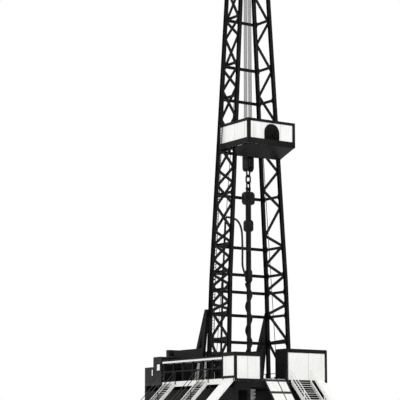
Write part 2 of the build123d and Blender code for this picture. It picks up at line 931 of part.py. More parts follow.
# Engines: a skid, a chamfered block, a radiator at the far end and a muffler above, in one piece
with BuildPart() as engines:
    for unit in range(engine_count):
        x = (unit - (engine_count - 1) / 2) * engine_spacing
        back = engine_front + engine_length
        block_top = floor_top + engine_skid + engine_height
        with BuildSketch(crosswise(back)):
            with BuildLine():
                Polyline(
                    (x - engine_width / 2, floor_top + engine_skid),
                    (x + engine_width / 2, floor_top + engine_skid),
                    (x + engine_width / 2, block_top - engine_chamfer),
                    (x + engine_width / 2 - engine_chamfer, block_top),
                    (x - engine_width / 2 + engine_chamfer, block_top),
                    (x - engine_width / 2, block_top - engine_chamfer),
                    close=True,
                )
            make_face()
        extrude(amount=engine_length)
        slab(
            around(x, radiator_width),
            (engine_front, back),
            (floor_top, floor_top + engine_skid),
        )
        slab(
            around(x, radiator_width),
            (back - radiator_length, back),
            (floor_top + engine_skid, floor_top + radiator_height),
        )
        muffler_y = engine_front + (engine_length - radiator_length) / 2
        with BuildSketch(crosswise(muffler_y)):
            with Locations((x, block_top + muffler_lift)):
                Circle(muffler_dia / 2)
        extrude(amount=muffler_length / 2, both=True)
        with BuildSketch(Plane.XY.offset(block_top)):
            with Locations((x, muffler_y)):
                Circle(exhaust_dia / 2)
        extrude(amount=muffler_lift)
finish(engines, "engines")

# Route of the rotary hose, from the standpipe to the swivel
hose_points = (
    (-1330, 0, 13100),
    (-950, 0, 13100),
    (-600, 0, 12900),
    (-425, 0, 12480),
    (-400, 0, 11950),
    (-388, 0, 11400),
    (-402, 0, 10900),
    (-390, 0, 10480),
    (-250, 0, 10210),
)

# Travelling block: cheek plates on both sides of the sheaves, spacers and the lower pin
cheek_x = block_sheaves * sheave_pitch / 2
block_half = cheek_x + block_cheek_thick
block_pin_z = block_bottom_z + block_pin_lift
with BuildPart() as travelling_block:
    for x_side in (-1, 1):
        with BuildSketch(lengthwise(x_side * (cheek_x + block_cheek_thick / 2))):
            with Locations((0, (block_bottom_z + block_top_z) / 2)):
                SlotOverall(block_top_z - block_bottom_z, block_depth, rotation=90)
        extrude(amount=block_cheek_thick / 2, both=True)
    spacer_z = block_shaft_z - sheave_dia / 2 - block_spacer_height
    slab((-cheek_x, cheek_x), around(0, block_depth), (spacer_z - block_spacer_height, spacer_z))
    with BuildSketch(lengthwise(0)):
        with Locations((0, block_pin_z)):
            Circle(pin_dia / 2)
    extrude(amount=cheek_x, both=True)
    add(sheave_cluster(block_sheaves, block_shaft_z, block_half))
finish(travelling_block, "travelling_block")

# Links between the block and the hook, each turned a quarter from the one above
link_tops = [block_pin_z + pin_dia / 2 + link_clear + link_bar / 2]
for link in range(1, link_count):
    link_tops.append(link_tops[-1] - link_height + link_bar + link_clear)
with BuildPart() as block_links:
    for link, top_z in enumerate(link_tops):
        turn = 90 if link % 2 == 0 else 0
        face = Plane.XZ.rotated((0, 0, turn))
        with BuildLine(face) as ring:
            side = link_width / 2
            low_z = top_z - link_height + side
            high_z = top_z - side
            Line((side, low_z), (side, high_z))
            ThreePointArc((side, high_z), (0, top_z), (-side, high_z))
            Line((-side, high_z), (-side, low_z))
            ThreePointArc((-side, low_z), (0, top_z - link_height), (side, low_z))
        with BuildSketch(Plane(origin=ring.line @ 0, z_dir=(0, 0, 1))):
            Circle(link_bar / 2)
        sweep(path=ring.wires()[0])
finish(block_links, "block_links")

# Hook: ears round the last link, a shouldered body, a shank and a lower body, each with a slit
hook_pin_z = link_tops[-1] - link_height + link_bar / 2 + link_clear + pin_dia / 2


def slotted_body(low_z, high_z, width, corner, slit):
    """A thick plate with rounded corners and one upright slit beside its middle."""
    with BuildPart() as body:
        with BuildSketch(crosswise(0)):
            with Locations((0, (low_z + high_z) / 2)):
                RectangleRounded(width, high_z - low_z, corner)
            with Locations((slit_shift, (low_z + high_z) / 2)):
                SlotOverall(slit_height, slit, rotation=90, mode=Mode.SUBTRACT)
        extrude(amount=hook_thick / 2, both=True)
    return body.part


with BuildPart() as hook:
    add(slotted_body(hook_bottom_z, hook_top_z, hook_width, hook_corner, slit_width))
    add(slotted_body(bail_bottom_z, bail_top_z, bail_width, bail_corner, bail_slit_width))
    with BuildSketch(Plane.XY.offset(bail_top_z)):
        Circle(shank_dia / 2)
    extrude(amount=hook_bottom_z - bail_top_z)
    ear_x = link_bar / 2 + hook_ear_thick
    for x_side in (-1, 1):
        slab(
            around(x_side * ear_x, hook_ear_thick),
            around(0, hook_ear_width),
            (hook_top_z, hook_pin_z + hook_ear_width / 2),
        )
    with BuildSketch(lengthwise(0)):
        with Locations((0, hook_pin_z)):
            Circle(pin_dia / 2)
    extrude(amount=ear_x + hook_ear_thick, both=True)
finish(hook, "hook")

# Swivel: a turned body under a long stem, with a nozzle for the hose
with BuildPart() as swivel:
    with BuildSketch(crosswise(0)):
        with BuildLine():
            Polyline(
                (0, bail_bottom_z),
                (stem_dia / 2, bail_bottom_z),
                (stem_dia / 2, swivel_top_z),
                (swivel_dia / 2, swivel_neck_z),
                (swivel_dia / 2, swivel_waist_z),
                (swivel_foot_dia / 2, swivel_bottom_z),
                (0, swivel_bottom_z),
                close=True,
            )
        make_face()
    revolve(axis=Axis.Z)
    hose_end = Vector(*hose_points[-1])
    with BuildSketch(Plane(origin=hose_end, z_dir=hose_end - Vector(*hose_points[-2]))):
        Circle(hose_dia / 2)
    extrude(amount=nozzle_length)
finish(swivel, "swivel")

spiral_length = swivel_bottom_z - spiral_bottom_z
with BuildSketch(Plane.XY.offset(spiral_bottom_z)) as spiral_section:
    Circle(spiral_core_dia / 2)
    with Locations((spiral_rib_offset, 0)):
        Circle(spiral_rib_dia / 2)
with BuildPart() as spiral_kelly:
    add(
        Solid.extrude_linear_with_rotation(
            spiral_section.sketch.faces()[0],
            (0, 0, spiral_bottom_z),
            (0, 0, spiral_length),
            360 * spiral_length / spiral_lead,
        )
    )
finish(spiral_kelly, "spiral_kelly")


def taut_line(start, end):
    """A straight round line from one point to another."""
    run = Vector(*end) - Vector(*start)
    with BuildPart() as line:
        with BuildSketch(Plane(origin=start, z_dir=run)):
            Circle(line_dia / 2)
        extrude(amount=run.length)
    return line.part


# Drilling lines: from each block sheave, one up its front and one up its back, half a pitch
# aside on the crown
with BuildPart() as drilling_lines:
    for sheave in range(block_sheaves):
        low_x = (sheave - (block_sheaves - 1) / 2) * sheave_pitch
        for y_side in (-1, 1):
            y = y_side * line_offset
            high_x = low_x + y_side * sheave_pitch / 2
            add(taut_line((low_x, y, block_shaft_z), (high_x, y, crown_shaft_z)))
finish(drilling_lines, "drilling_lines")

def taut_side(start_radius, end, end_radius):
    """The upward tilt, from +Y, of the radii to a line that touches a circle on the crown
    shaft and a circle about a point lower down, given as Y and Z, both on the +Y side."""
    run_y, run_z = end[0], end[1] - crown_shaft_z
    away = math.acos((start_radius - end_radius) / math.hypot(run_y, run_z))
    return math.atan2(run_z, run_y) + away


# Fast line from the first crown sheave over the drum, and dead line from the last one
with BuildPart() as anchor_lines:
    end_x = block_sheaves * sheave_pitch / 2
    drum_radius = (drum_dia + line_dia) / 2 + line_clear
    tilt = taut_side(line_offset, (drum_axis_y, drum_axis_z), drum_radius)
    start = (-end_x, line_offset * math.cos(tilt), crown_shaft_z + line_offset * math.sin(tilt))
    end = (
        -end_x,
        drum_axis_y + drum_radius * math.cos(tilt),
        drum_axis_z + drum_radius * math.sin(tilt),
    )
    add(taut_line(start, end))
    tilt = taut_side(line_offset, (-anchor_y, floor_top + anchor_height), 0)
    start = (end_x, -line_offset * math.cos(tilt), crown_shaft_z + line_offset * math.sin(tilt))
    add(taut_line(start, (anchor_x, anchor_y, floor_top + anchor_height)))
finish(anchor_lines, "anchor_lines")

with BuildPart() as deadline_anchor:
    slab(
        around(anchor_x, anchor_size),
        around(anchor_y, anchor_size),
        (floor_top, floor_top + anchor_height - line_dia),
    )
finish(deadline_anchor, "deadline_anchor")


def arc_radii(points):
    """The radius of each corner: as large as its two runs allow."""
    radii = []
    for before, corner, after in zip(points, points[1:], points[2:]):
        run_in = Vector(*corner) - Vector(*before)
        run_out = Vector(*after) - Vector(*corner)
        half_turn = math.radians(run_in.get_angle(run_out)) / 2
        radii.append(arc_share * min(run_in.length, run_out.length) / math.tan(half_turn))
    return radii


hose_radii = arc_radii(hose_points)
print("hose radii", [round(radius) for radius in hose_radii])
with BuildPart() as rotary_hose:
    with BuildLine() as hose_path:
        FilletPolyline(*hose_points, radius=hose_radii)
    with BuildSketch(Plane(origin=hose_path.line @ 0, z_dir=hose_path.line % 0)):
        Circle(hose_dia / 2)
    sweep()
hose_length = hose_path.wires()[0].length
print("hose volume share", rotary_hose.part.volume / (math.pi * hose_dia**2 / 4 * hose_length))
finish(rotary_hose, "rotary_hose")

# Standpipe up the inside of the left mast side, clamped to its level bars, with a gooseneck
pipe_offset = brace_thick / 2 + standpipe_clamp + standpipe_dia / 2
with BuildPart() as standpipe:
    pipe_end = hose_points[0]
    pipe_x = pipe_offset - mast_half_width(pipe_end[2])
    neck_radius = min(gooseneck_radius, pipe_end[0] - pipe_x - gooseneck_clear)
    with BuildLine() as pipe_path:
        FilletPolyline(
            (pipe_offset - mast_floor_half_width, 0, floor_top + standpipe_flange_thick / 2),
            (pipe_offset - mast_splice_half_width, 0, mast_splice_z),
            (pipe_x, 0, pipe_end[2]),
            pipe_end,
            radius=[standpipe_bend, neck_radius],
        )
    with BuildSketch(Plane(origin=pipe_path.line @ 0, z_dir=pipe_path.line % 0)):
        Circle(standpipe_dia / 2)
    sweep()
    with BuildSketch(Plane.XY.offset(floor_top)):
        with Locations((pipe_offset - mast_floor_half_width, 0)):
            Circle(standpipe_flange_dia / 2)
    extrude(amount=standpipe_flange_thick)
    for low_z, high_z in mast_sections:
        clamp_zs = [floor_top + height for height in level_heights]
        clamp_zs = [z for z in clamp_zs if low_z < z < min(high_z, pipe_end[2] - gooseneck_radius * 2)]
        with BuildSketch(side_plane(-1, low_z, high_z).offset(brace_thick / 2)):
            with Locations(*[(0, up_slope(z, low_z, high_z)) for z in clamp_zs]):
                Rectangle(standpipe_clamp_width, brace_width)
        extrude(amount=standpipe_clamp + standpipe_dia / 2)
finish(standpipe, "standpipe")

# Stairs: each flight has two sloping stringers, the treads between them and a railing
steps = round(floor_top / stair_rise)
rise = floor_top / steps
stair_run = steps * stair_going


def side_of_run(origin, heading):
    """The upright plane along a run that leaves the floor's edge: its own directions are
    along the run and up. The heading is the run's angle on the ground, counted from +X."""
    ground = Plane(origin=origin, x_dir=(1, 0, 0), z_dir=(0, 0, 1)).rotated((0, 0, heading))
    return Plane(origin=origin, x_dir=ground.x_dir, z_dir=ground.y_dir * -1)


def sloping_strip(run, depth):
    """A strip from the floor's edge down to the ground, as high as depth on end."""
    with BuildSketch() as strip:
        with BuildLine():
            Polyline(
                (0, floor_top),
                (0, floor_top - depth),
                (run - run * depth / floor_top, 0),
                (run, 0),
                close=True,
            )
        make_face()
    return strip.sketch


front_edge = floor_front - wall_thick
left_edge = floor_left - porch_fascia_thick
flights = [(side_of_run((right_stair_x, front_edge, 0), -90), right_stair_width)]
flights += [(side_of_run((left_edge, y, 0), 180), left_stair_width) for y in left_stair_ys]

with BuildPart() as stair_stringers:
    for side, width in flights:
        for y_side in (-1, 1):
            with BuildSketch(side.offset(y_side * (width + stringer_thick) / 2)):
                add(sloping_strip(stair_run, stringer_depth))
            extrude(amount=stringer_thick / 2, both=True)
finish(stair_stringers, "stair_stringers")

with BuildPart() as stair_treads:
    for side, width in flights:
        with BuildSketch(side):
            with Locations(*[(step * stair_going, floor_top - step * rise) for step in range(1, steps)]):
                Rectangle(tread_depth, tread_thick, align=(Align.MAX, Align.MAX))
        extrude(amount=width / 2, both=True)
finish(stair_treads, "stair_treads")

with BuildPart() as stair_rails:
    share = 1 - stringer_depth / floor_top
    for side, width in flights:
        for y_side in (-1, 1):
            foot = side.offset(y_side * (width / 2 + stringer_thick + rail_bar / 2))
            start = Plane(origin=foot.origin + Vector(0, 0, floor_top), x_dir=foot.x_dir, z_dir=foot.z_dir)
            add(railing(start, stair_run * share, floor_top * share, lap=rail_lap))
finish(stair_rails, "stair_rails")


def chute(side, width, run, divider=None):
    """A sloping plate with a raised flange on each side, and one between them if it is divided
    at a distance from its middle."""
    flanges = [-(width + chute_flange_thick) / 2, (width + chute_flange_thick) / 2]
    if divider is not None:
        flanges.append(divider)
    with BuildPart() as plate:
        with BuildSketch(side):
            add(sloping_strip(run, chute_thick))
        extrude(amount=width / 2, both=True)
        for offset_across in flanges:
            with BuildSketch(side.offset(offset_across)):
                add(sloping_strip(run, chute_flange_height))
            extrude(amount=chute_flange_thick / 2, both=True)
    return plate.part


with BuildPart() as v_door_ramp:
    ramp_x = (ramp_left + ramp_right) / 2
    ramp_side = side_of_run((ramp_x, floor_front, 0), -90)
    divider = (ramp_divider_x - ramp_x) * ramp_side.z_dir.X
    add(chute(ramp_side, ramp_right - ramp_left, ramp_run, divider))
finish(v_door_ramp, "v_door_ramp")

with BuildPart() as slides:
    add(chute(side_of_run((left_edge, left_slide_y, 0), 180), left_slide_width, slide_run))
    add(chute(side_of_run((right_slide_x, front_edge, 0), -90), right_slide_width, slide_run))
finish(slides, "slides")

# Handrails along the right and back edges of the floor
with BuildPart() as floor_handrails:
    house_back = front_edge + right_house_depth
    right_plane = Plane(
        origin=(floor_right - rail_bar / 2, house_back, floor_top),
        x_dir=(0, 1, 0),
        z_dir=(1, 0, 0),
    )
    add(railing(right_plane, floor_back - house_back))
    back_plane = Plane(
        origin=(cabin_inner_x, floor_back - rail_bar / 2, floor_top),
        x_dir=(1, 0, 0),
        z_dir=(0, -1, 0),
    )
    add(railing(back_plane, floor_right - rail_bar - rail_clear - cabin_inner_x))
finish(floor_handrails, "floor_handrails")
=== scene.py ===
import math

import bpy
import numpy as np
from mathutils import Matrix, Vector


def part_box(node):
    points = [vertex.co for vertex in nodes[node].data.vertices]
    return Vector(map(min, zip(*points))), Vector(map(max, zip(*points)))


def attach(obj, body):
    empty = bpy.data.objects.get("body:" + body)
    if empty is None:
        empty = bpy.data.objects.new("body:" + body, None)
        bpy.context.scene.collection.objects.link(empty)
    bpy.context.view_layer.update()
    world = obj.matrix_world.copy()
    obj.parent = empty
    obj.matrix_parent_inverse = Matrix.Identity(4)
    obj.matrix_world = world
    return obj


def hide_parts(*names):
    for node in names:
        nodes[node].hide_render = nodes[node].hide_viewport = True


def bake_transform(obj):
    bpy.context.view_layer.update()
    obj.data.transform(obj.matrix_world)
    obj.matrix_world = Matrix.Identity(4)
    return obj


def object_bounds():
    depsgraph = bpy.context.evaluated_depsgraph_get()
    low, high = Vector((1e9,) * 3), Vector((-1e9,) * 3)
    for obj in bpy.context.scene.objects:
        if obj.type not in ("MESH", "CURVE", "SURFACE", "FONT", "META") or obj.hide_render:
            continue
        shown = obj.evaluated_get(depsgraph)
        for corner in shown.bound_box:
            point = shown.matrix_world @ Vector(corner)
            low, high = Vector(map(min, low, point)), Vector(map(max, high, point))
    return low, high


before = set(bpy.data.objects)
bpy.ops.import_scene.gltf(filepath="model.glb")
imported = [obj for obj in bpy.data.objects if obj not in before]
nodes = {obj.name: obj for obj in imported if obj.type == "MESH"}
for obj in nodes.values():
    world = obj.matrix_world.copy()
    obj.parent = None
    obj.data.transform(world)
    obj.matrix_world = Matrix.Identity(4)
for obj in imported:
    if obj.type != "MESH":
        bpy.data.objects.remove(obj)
cadLow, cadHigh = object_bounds()
pi = math.pi

# Camera, as the photograph was taken: far off, low, and looking up at the mast

camera = {
    "place": (-49.911, -69.572, 1.010),
    "turn": -33.94,  # degrees about the vertical
    "tilt": 8.7145,  # degrees up from level
    "lens": 146.8,
    "sensor": 36.0,
    "reach": 500,
}


def placeCamera():
    # an unturned camera looks straight down, so level is a quarter turn up from there
    data = bpy.data.cameras.new("camera")
    data.lens = camera["lens"]
    data.sensor_width = camera["sensor"]
    data.clip_end = camera["reach"]
    eye = bpy.data.objects.new("camera", data)
    eye.location = camera["place"]
    eye.rotation_euler = (math.radians(90 + camera["tilt"]), 0, math.radians(camera["turn"]))
    bpy.context.collection.objects.link(eye)
    bpy.context.scene.camera = eye


placeCamera()
print("camera placed")

# Shader maths: a wire is a socket with arithmetic, and a paint is a material that grows nodes


class Wire:
    def __init__(self, paint, socket):
        self.paint = paint
        self.socket = socket

    def __add__(self, other):
        return self.paint.math("ADD", self, other)

    def __radd__(self, other):
        return self.paint.math("ADD", other, self)

    def __sub__(self, other):
        return self.paint.math("SUBTRACT", self, other)

    def __rsub__(self, other):
        return self.paint.math("SUBTRACT", other, self)

    def __mul__(self, other):
        return self.paint.math("MULTIPLY", self, other)

    def __rmul__(self, other):
        return self.paint.math("MULTIPLY", other, self)


class Paint:
    def __init__(self, name, specular=0.5, coat=0.0):
        self.material = bpy.data.materials.new(name)
        self.material.use_nodes = True
        self.tree = self.material.node_tree
        self.tree.nodes.clear()
        self.shader = self.tree.nodes.new("ShaderNodeBsdfPrincipled")
        self.shader.inputs["Specular IOR Level"].default_value = specular
        self.shader.inputs["Coat Weight"].default_value = coat
        result = self.tree.nodes.new("ShaderNodeOutputMaterial")
        self.tree.links.new(self.shader.outputs[0], result.inputs["Surface"])
        self.place = self.node("ShaderNodeTexCoord", {}, {}, "Object")
        self.uv = self.node("ShaderNodeTexCoord", {}, {}, "UV")

    def node(self, kind, settings, sockets, output=0):
        made = self.tree.nodes.new(kind)
        for key, value in settings.items():
            setattr(made, key, value)
        for key, value in sockets.items():
            self.feed(made.inputs[key], value)
        return Wire(self, made.outputs[output])

    def feed(self, target, value):
        if isinstance(value, Wire):
            self.tree.links.new(value.socket, target)
        else:
            target.default_value = value

    def math(self, operation, *values):
        return self.node("ShaderNodeMath", {"operation": operation}, dict(enumerate(values)))

    def set(self, **values):
        for key, value in values.items():
            self.feed(self.shader.inputs[key.replace("_", " ")], value)

    def noise(self, scale, detail, stretch=(1, 1, 1)):
        where = self.node("ShaderNodeMapping", {}, {"Vector": self.place, "Scale": stretch})
        return self.node("ShaderNodeTexNoise", {}, {"Vector": where, "Scale": scale, "Detail": detail})

    def step(self, value, low, high):
        # 0 up to low, 1 from high on, and a smooth rise between
        settings = {"interpolation_type": "SMOOTHSTEP"}
        return self.node("ShaderNodeMapRange", settings, {"Value": value, "From Min": low, "From Max": high})

    def mix(self, share, first, second):
        # sockets 6 and 7 and output 2 are the Mix node's colours
        sockets = {0: share}
        for key, value in ((6, first), (7, second)):
            sockets[key] = value if isinstance(value, Wire) else (*value, 1)
        return self.node("ShaderNodeMix", {"data_type": "RGBA"}, sockets, 2)

    def axes(self, source=None):
        apart = {"Vector": source or self.place}
        return [self.node("ShaderNodeSeparateXYZ", {}, apart, axis) for axis in range(3)]

    def bump(self, height, distance, strength=1.0):
        sockets = {"Height": height, "Distance": distance, "Strength": strength}
        self.set(Normal=self.node("ShaderNodeBump", {}, sockets))

    def wave(self, value, period):
        # a smooth ripple from 0 to 1 that repeats each period
        return self.math("SINE", value * (2 * pi / period)) * 0.5 + 0.5


# Paints: colours are linear, a scale is how fine a noise is, and a pitch is a length in metres

oldSteel = {"rust": (0.10, 0.035, 0.014), "patchScale": 0.9, "runScale": 3.2, "grainScale": 70}


def steelPaint(name, base, faded, rusty, specular):
    # old paint: faded patches, rust that runs down, and a fine orange-peel skin
    paint = Paint(name, specular)
    patches = paint.step(paint.noise(oldSteel["patchScale"], 4), 0.4, 0.75)
    runs = paint.noise(oldSteel["runScale"], 5, (1, 1, 0.12))
    grain = paint.noise(oldSteel["grainScale"], 2)
    rust = paint.step(runs * 0.7 + grain * 0.3, 0.62, 0.74) * rusty
    skin = paint.mix(patches, base, faded)
    paint.set(Base_Color=paint.mix(rust, skin, oldSteel["rust"]))
    paint.set(Roughness=0.42 + patches * 0.15 + rust * 0.35)
    paint.bump(grain * 0.5 + rust, 0.003, 0.35)
    return paint


deckPlate = {"dark": (0.016, 0.016, 0.017), "bare": (0.11, 0.105, 0.10), "pitch": 0.09, "wearScale": 1.3}


def deckPaint():
    # raised lozenges in two directions on dark plate, bare where feet have worn them
    paint = Paint("deckPlate", 0.25)
    x, y, z = paint.axes()
    pitch = deckPlate["pitch"]
    first = paint.wave(x + y, pitch) * paint.wave(x - y, pitch / 2)
    second = paint.wave(x + y, pitch / 2) * paint.wave(x - y, pitch)
    studs = paint.step(paint.math("MAXIMUM", first, second), 0.62, 0.85)
    worn = studs * paint.step(paint.noise(deckPlate["wearScale"], 4), 0.45, 0.7)
    paint.set(Base_Color=paint.mix(worn, deckPlate["dark"], deckPlate["bare"]))
    paint.set(Roughness=0.6 - worn * 0.25)
    paint.bump(studs, 0.004)
    return paint


wallSheet = {
    "clean": (0.90, 0.90, 0.89),
    "dusty": (0.82, 0.815, 0.79),
    "dirt": (0.45, 0.41, 0.35),
    "seam": (0.2, 0.2, 0.2),
    "ribsPerSheet": 8,
    "runScale": 5.5,
    "dustScale": 0.8,
}


def sheetPaint(name, rib, depth):
    # white ribbed sheet, with seams between sheets and dirt that rain has drawn down
    paint = Paint(name, 0.4)
    x, y, z = paint.axes()
    across = x + y
    ribs = paint.step(paint.wave(across, rib), 0.25, 0.75)
    seam = paint.step(paint.wave(across, rib * wallSheet["ribsPerSheet"]), 0.9985, 0.9998)
    runs = paint.step(paint.noise(wallSheet["runScale"], 5, (1, 1, 0.07)), 0.52, 0.85)
    dust = paint.step(paint.noise(wallSheet["dustScale"], 4), 0.35, 0.8)
    clean = paint.mix(dust, wallSheet["clean"], wallSheet["dusty"])
    stained = paint.mix(runs * 0.35, clean, wallSheet["dirt"])
    paint.set(Base_Color=paint.mix(seam * 0.7, stained, wallSheet["seam"]))
    paint.set(Roughness=0.38 + runs * 0.25)
    paint.bump(ribs - seam * 0.6, depth, 0.6)
    return paint


gloss = {"white": (0.88, 0.88, 0.86), "scuff": (0.35, 0.33, 0.30), "scuffScale": 9, "grainScale": 90}


def trimPaint():
    # white gloss on the slides, stair sides, floor's edge and porch roof, with grey scuffs
    paint = Paint("whiteTrim", 0.4)
    scuffs = paint.step(paint.noise(gloss["scuffScale"], 6), 0.58, 0.7)
    grain = paint.noise(gloss["grainScale"], 2)
    paint.set(Base_Color=paint.mix(scuffs * 0.5, gloss["white"], gloss["scuff"]))
    paint.set(Roughness=0.35 + scuffs * 0.3)
    paint.bump(grain * 0.4 - scuffs * 0.5, 0.002, 0.3)
    return paint


rail = {
    "black": (0.008, 0.008, 0.0085),
    "white": (0.87, 0.87, 0.85),
    "scuff": (0.24, 0.23, 0.22),
    "scuffScale": 11,
    "grainScale": 90,
}


def railPaint():
    # rails that are white on the right of the middle and black on its left, with scuffs
    paint = Paint("railPipe", 0.3)
    x, y, z = paint.axes()
    right = paint.step(x, 0.0, 0.1)
    scuffs = paint.step(paint.noise(rail["scuffScale"], 6), 0.58, 0.7)
    skin = paint.mix(right, rail["black"], rail["white"])
    paint.set(Base_Color=paint.mix(scuffs * 0.35, skin, rail["scuff"]))
    paint.set(Roughness=0.38 + scuffs * 0.25)
    paint.bump(paint.noise(rail["grainScale"], 2) * 0.4 - scuffs * 0.4, 0.002, 0.3)
    return paint


ramp = {
    "divider": -0.210,
    "edge": 0.055,
    "sharp": 0.004,
    "barPitch": 0.62,
    "white": (0.87, 0.87, 0.85),
    "scrape": (0.40, 0.38, 0.35),
    "black": (0.013, 0.013, 0.014),
    "scrapeScale": 7,
    "grainScale": 80,
}


def rampPaint():
    # white plate scraped grey by pipe, with black edges, a black divider and black bars across it
    paint = Paint("rampPlate", 0.4)
    x, y, z = paint.axes()
    low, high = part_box("v_door_ramp")
    wide, sharp = ramp["edge"], ramp["sharp"]
    edge = paint.step(x, low[0] + wide, low[0] + wide - sharp)
    edge = paint.math("MAXIMUM", edge, paint.step(x, high[0] - wide, high[0] - wide + sharp))
    split = paint.step(paint.math("ABSOLUTE", x - ramp["divider"]), wide / 2 + sharp, wide / 2)
    bars = paint.step(paint.wave(z, ramp["barPitch"]), 0.90, 0.915)
    black = paint.math("MAXIMUM", paint.math("MAXIMUM", edge, split), bars)
    scrapes = paint.step(paint.noise(ramp["scrapeScale"], 5, (3, 0.25, 0.25)), 0.5, 0.72)
    white = paint.mix(scrapes * 0.45, ramp["white"], ramp["scrape"])
    paint.set(Base_Color=paint.mix(black, white, ramp["black"]))
    paint.set(Roughness=0.45 + scrapes * 0.2)
    paint.bump(paint.noise(ramp["grainScale"], 2) * 0.3 - scrapes * 0.5, 0.003, 0.4)
    return paint


paleEnamel = {
    "pale": (0.80, 0.80, 0.78),
    "oil": (0.30, 0.27, 0.23),
    "primer": (0.22, 0.12, 0.08),
    "oilScale": 2.4,
    "chipScale": 24,
    "grainScale": 60,
}


def lightMachinePaint():
    # pale machine enamel, with oil round the bearings and chips down to primer
    paint = Paint("paleEnamel", 0.4, 0.15)
    oil = paint.step(paint.noise(paleEnamel["oilScale"], 5, (1, 1, 0.3)), 0.58, 0.8)
    chips = paint.step(paint.noise(paleEnamel["chipScale"], 6), 0.68, 0.73)
    skin = paint.mix(oil * 0.5, paleEnamel["pale"], paleEnamel["oil"])
    paint.set(Base_Color=paint.mix(chips, skin, paleEnamel["primer"]))
    paint.set(Roughness=0.38 + chips * 0.3 - oil * 0.1)
    paint.bump(paint.noise(paleEnamel["grainScale"], 2) * 0.3 - chips, 0.003, 0.4)
    return paint


zinc = {"grey": (0.16, 0.16, 0.165), "rust": (0.09, 0.045, 0.025), "rustScale": 20, "grainScale": 150}


def studPaint():
    # zinc-grey bolts and studs, with patches of rust that take the shine off
    paint = Paint("studSteel", 0.4)
    rust = paint.step(paint.noise(zinc["rustScale"], 4), 0.5, 0.7)
    paint.set(Base_Color=paint.mix(rust, zinc["grey"], zinc["rust"]))
    paint.set(Metallic=0.8 - rust * 0.6)
    paint.set(Roughness=0.42 + rust * 0.3)
    paint.bump(paint.noise(zinc["grainScale"], 2), 0.001, 0.4)
    return paint


pane = {"pale": (0.88, 0.89, 0.90), "dust": (0.66, 0.65, 0.62), "dustScale": 6, "grainScale": 50}


def panePaint():
    # pale glossy panes, dull where dust lies; the pale colour is a painted reflection of the bright surround
    # on the glass
    paint = Paint("windowPane", 0.5, 0.6)
    dust = paint.step(paint.noise(pane["dustScale"], 4), 0.45, 0.75)
    # the pale colour is a painted reflection, and the dust colour is real dust
    paint.set(Base_Color=paint.mix(dust, pane["pale"], pane["dust"]))
    paint.set(Roughness=0.12 + dust * 0.4)
    paint.bump(paint.noise(pane["grainScale"], 2), 0.001, 0.2)
    return paint


tread = {
    "gap": (0.30, 0.30, 0.29),
    "clean": (0.86, 0.86, 0.84),
    "grime": (0.62, 0.61, 0.58),
    "bearingPitch": 0.03,
    "crossPitch": 0.05,
    "grimeScale": 12,
}


def gratingPaint():
    # tread grating: bearing bars one way, twisted bars the other, and painted shade between them, where the
    # holes would show shade below
    paint = Paint("treadGrating", 0.4)
    x, y, z = paint.axes()
    bars = paint.math("MAXIMUM", paint.wave(x, tread["bearingPitch"]), paint.wave(y, tread["crossPitch"]))
    bar = paint.step(bars, 0.6, 0.8)
    grime = paint.noise(tread["grimeScale"], 4)
    steel = paint.mix(grime, tread["clean"], tread["grime"])
    # the dark between the bars is painted shade
    paint.set(Base_Color=paint.mix(bar, tread["gap"], steel))
    paint.set(Roughness=0.5 - bar * 0.1)
    paint.bump(bar, 0.004, 0.6)
    return paint


darkEnamel = {
    "dark": (0.011, 0.0112, 0.012),
    "oil": (0.005, 0.0048, 0.0045),
    "chip": (0.06, 0.055, 0.05),
    "oilScale": 2.6,
    "chipScale": 26,
    "grainScale": 60,
}


def machinePaint():
    # dark enamel with oil that has run and caught dust
    paint = Paint("machineEnamel", 0.16, 0.03)
    oil = paint.step(paint.noise(darkEnamel["oilScale"], 5, (1, 1, 0.35)), 0.45, 0.7)
    chips = paint.step(paint.noise(darkEnamel["chipScale"], 6), 0.66, 0.72)
    skin = paint.mix(oil, darkEnamel["dark"], darkEnamel["oil"])
    paint.set(Base_Color=paint.mix(chips, skin, darkEnamel["chip"]))
    paint.set(Roughness=0.5 - oil * 0.22 + chips * 0.2)
    paint.bump(paint.noise(darkEnamel["grainScale"], 2) * 0.3 - chips, 0.003, 0.4)
    return paint


wornSteel = {
    "bright": (0.20, 0.20, 0.205),
    "bloom": (0.10, 0.085, 0.075),
    "pit": (0.07, 0.04, 0.025),
    "bloomScale": 3,
    "pitScale": 38,
}


def bareSteel():
    # worn steel: bright where it runs, brown in the pits
    paint = Paint("bareSteel", 0.4)
    pits = paint.step(paint.noise(wornSteel["pitScale"], 5), 0.55, 0.72)
    bloom = paint.step(paint.noise(wornSteel["bloomScale"], 4), 0.4, 0.75)
    metal = paint.mix(bloom, wornSteel["bright"], wornSteel["bloom"])
    paint.set(Base_Color=paint.mix(pits, metal, wornSteel["pit"]))
    paint.set(Metallic=0.85 - pits * 0.5)
    paint.set(Roughness=0.38 + pits * 0.3)
    paint.bump(1 - pits, 0.003, 0.5)
    return paint


gearSteel = {
    "dark": (0.009, 0.009, 0.0095),
    "grease": (0.004, 0.0038, 0.0035),
    "scratch": (0.12, 0.115, 0.11),
    "greaseScale": 4,
    "scratchScale": 30,
    "grainScale": 45,
}


def darkSteel():
    # greased dark steel of the travelling gear, with bright scratches down it
    paint = Paint("darkSteel", 0.12)
    grease = paint.step(paint.noise(gearSteel["greaseScale"], 4), 0.4, 0.65)
    scratches = paint.step(paint.noise(gearSteel["scratchScale"], 4, (1, 1, 0.15)), 0.64, 0.7)
    skin = paint.mix(grease, gearSteel["dark"], gearSteel["grease"])
    paint.set(Base_Color=paint.mix(scratches * 0.6, skin, gearSteel["scratch"]))
    paint.set(Metallic=scratches * 0.5)
    paint.set(Roughness=0.5 - grease * 0.2)
    paint.bump(paint.noise(gearSteel["grainScale"], 2) * 0.4 - scratches, 0.003, 0.4)
    return paint


rope = {
    "steel": (0.020, 0.0195, 0.019),
    "grease": (0.004, 0.0038, 0.0035),
    "strands": 6,
    "wires": 36,
    "lay": 40,
}


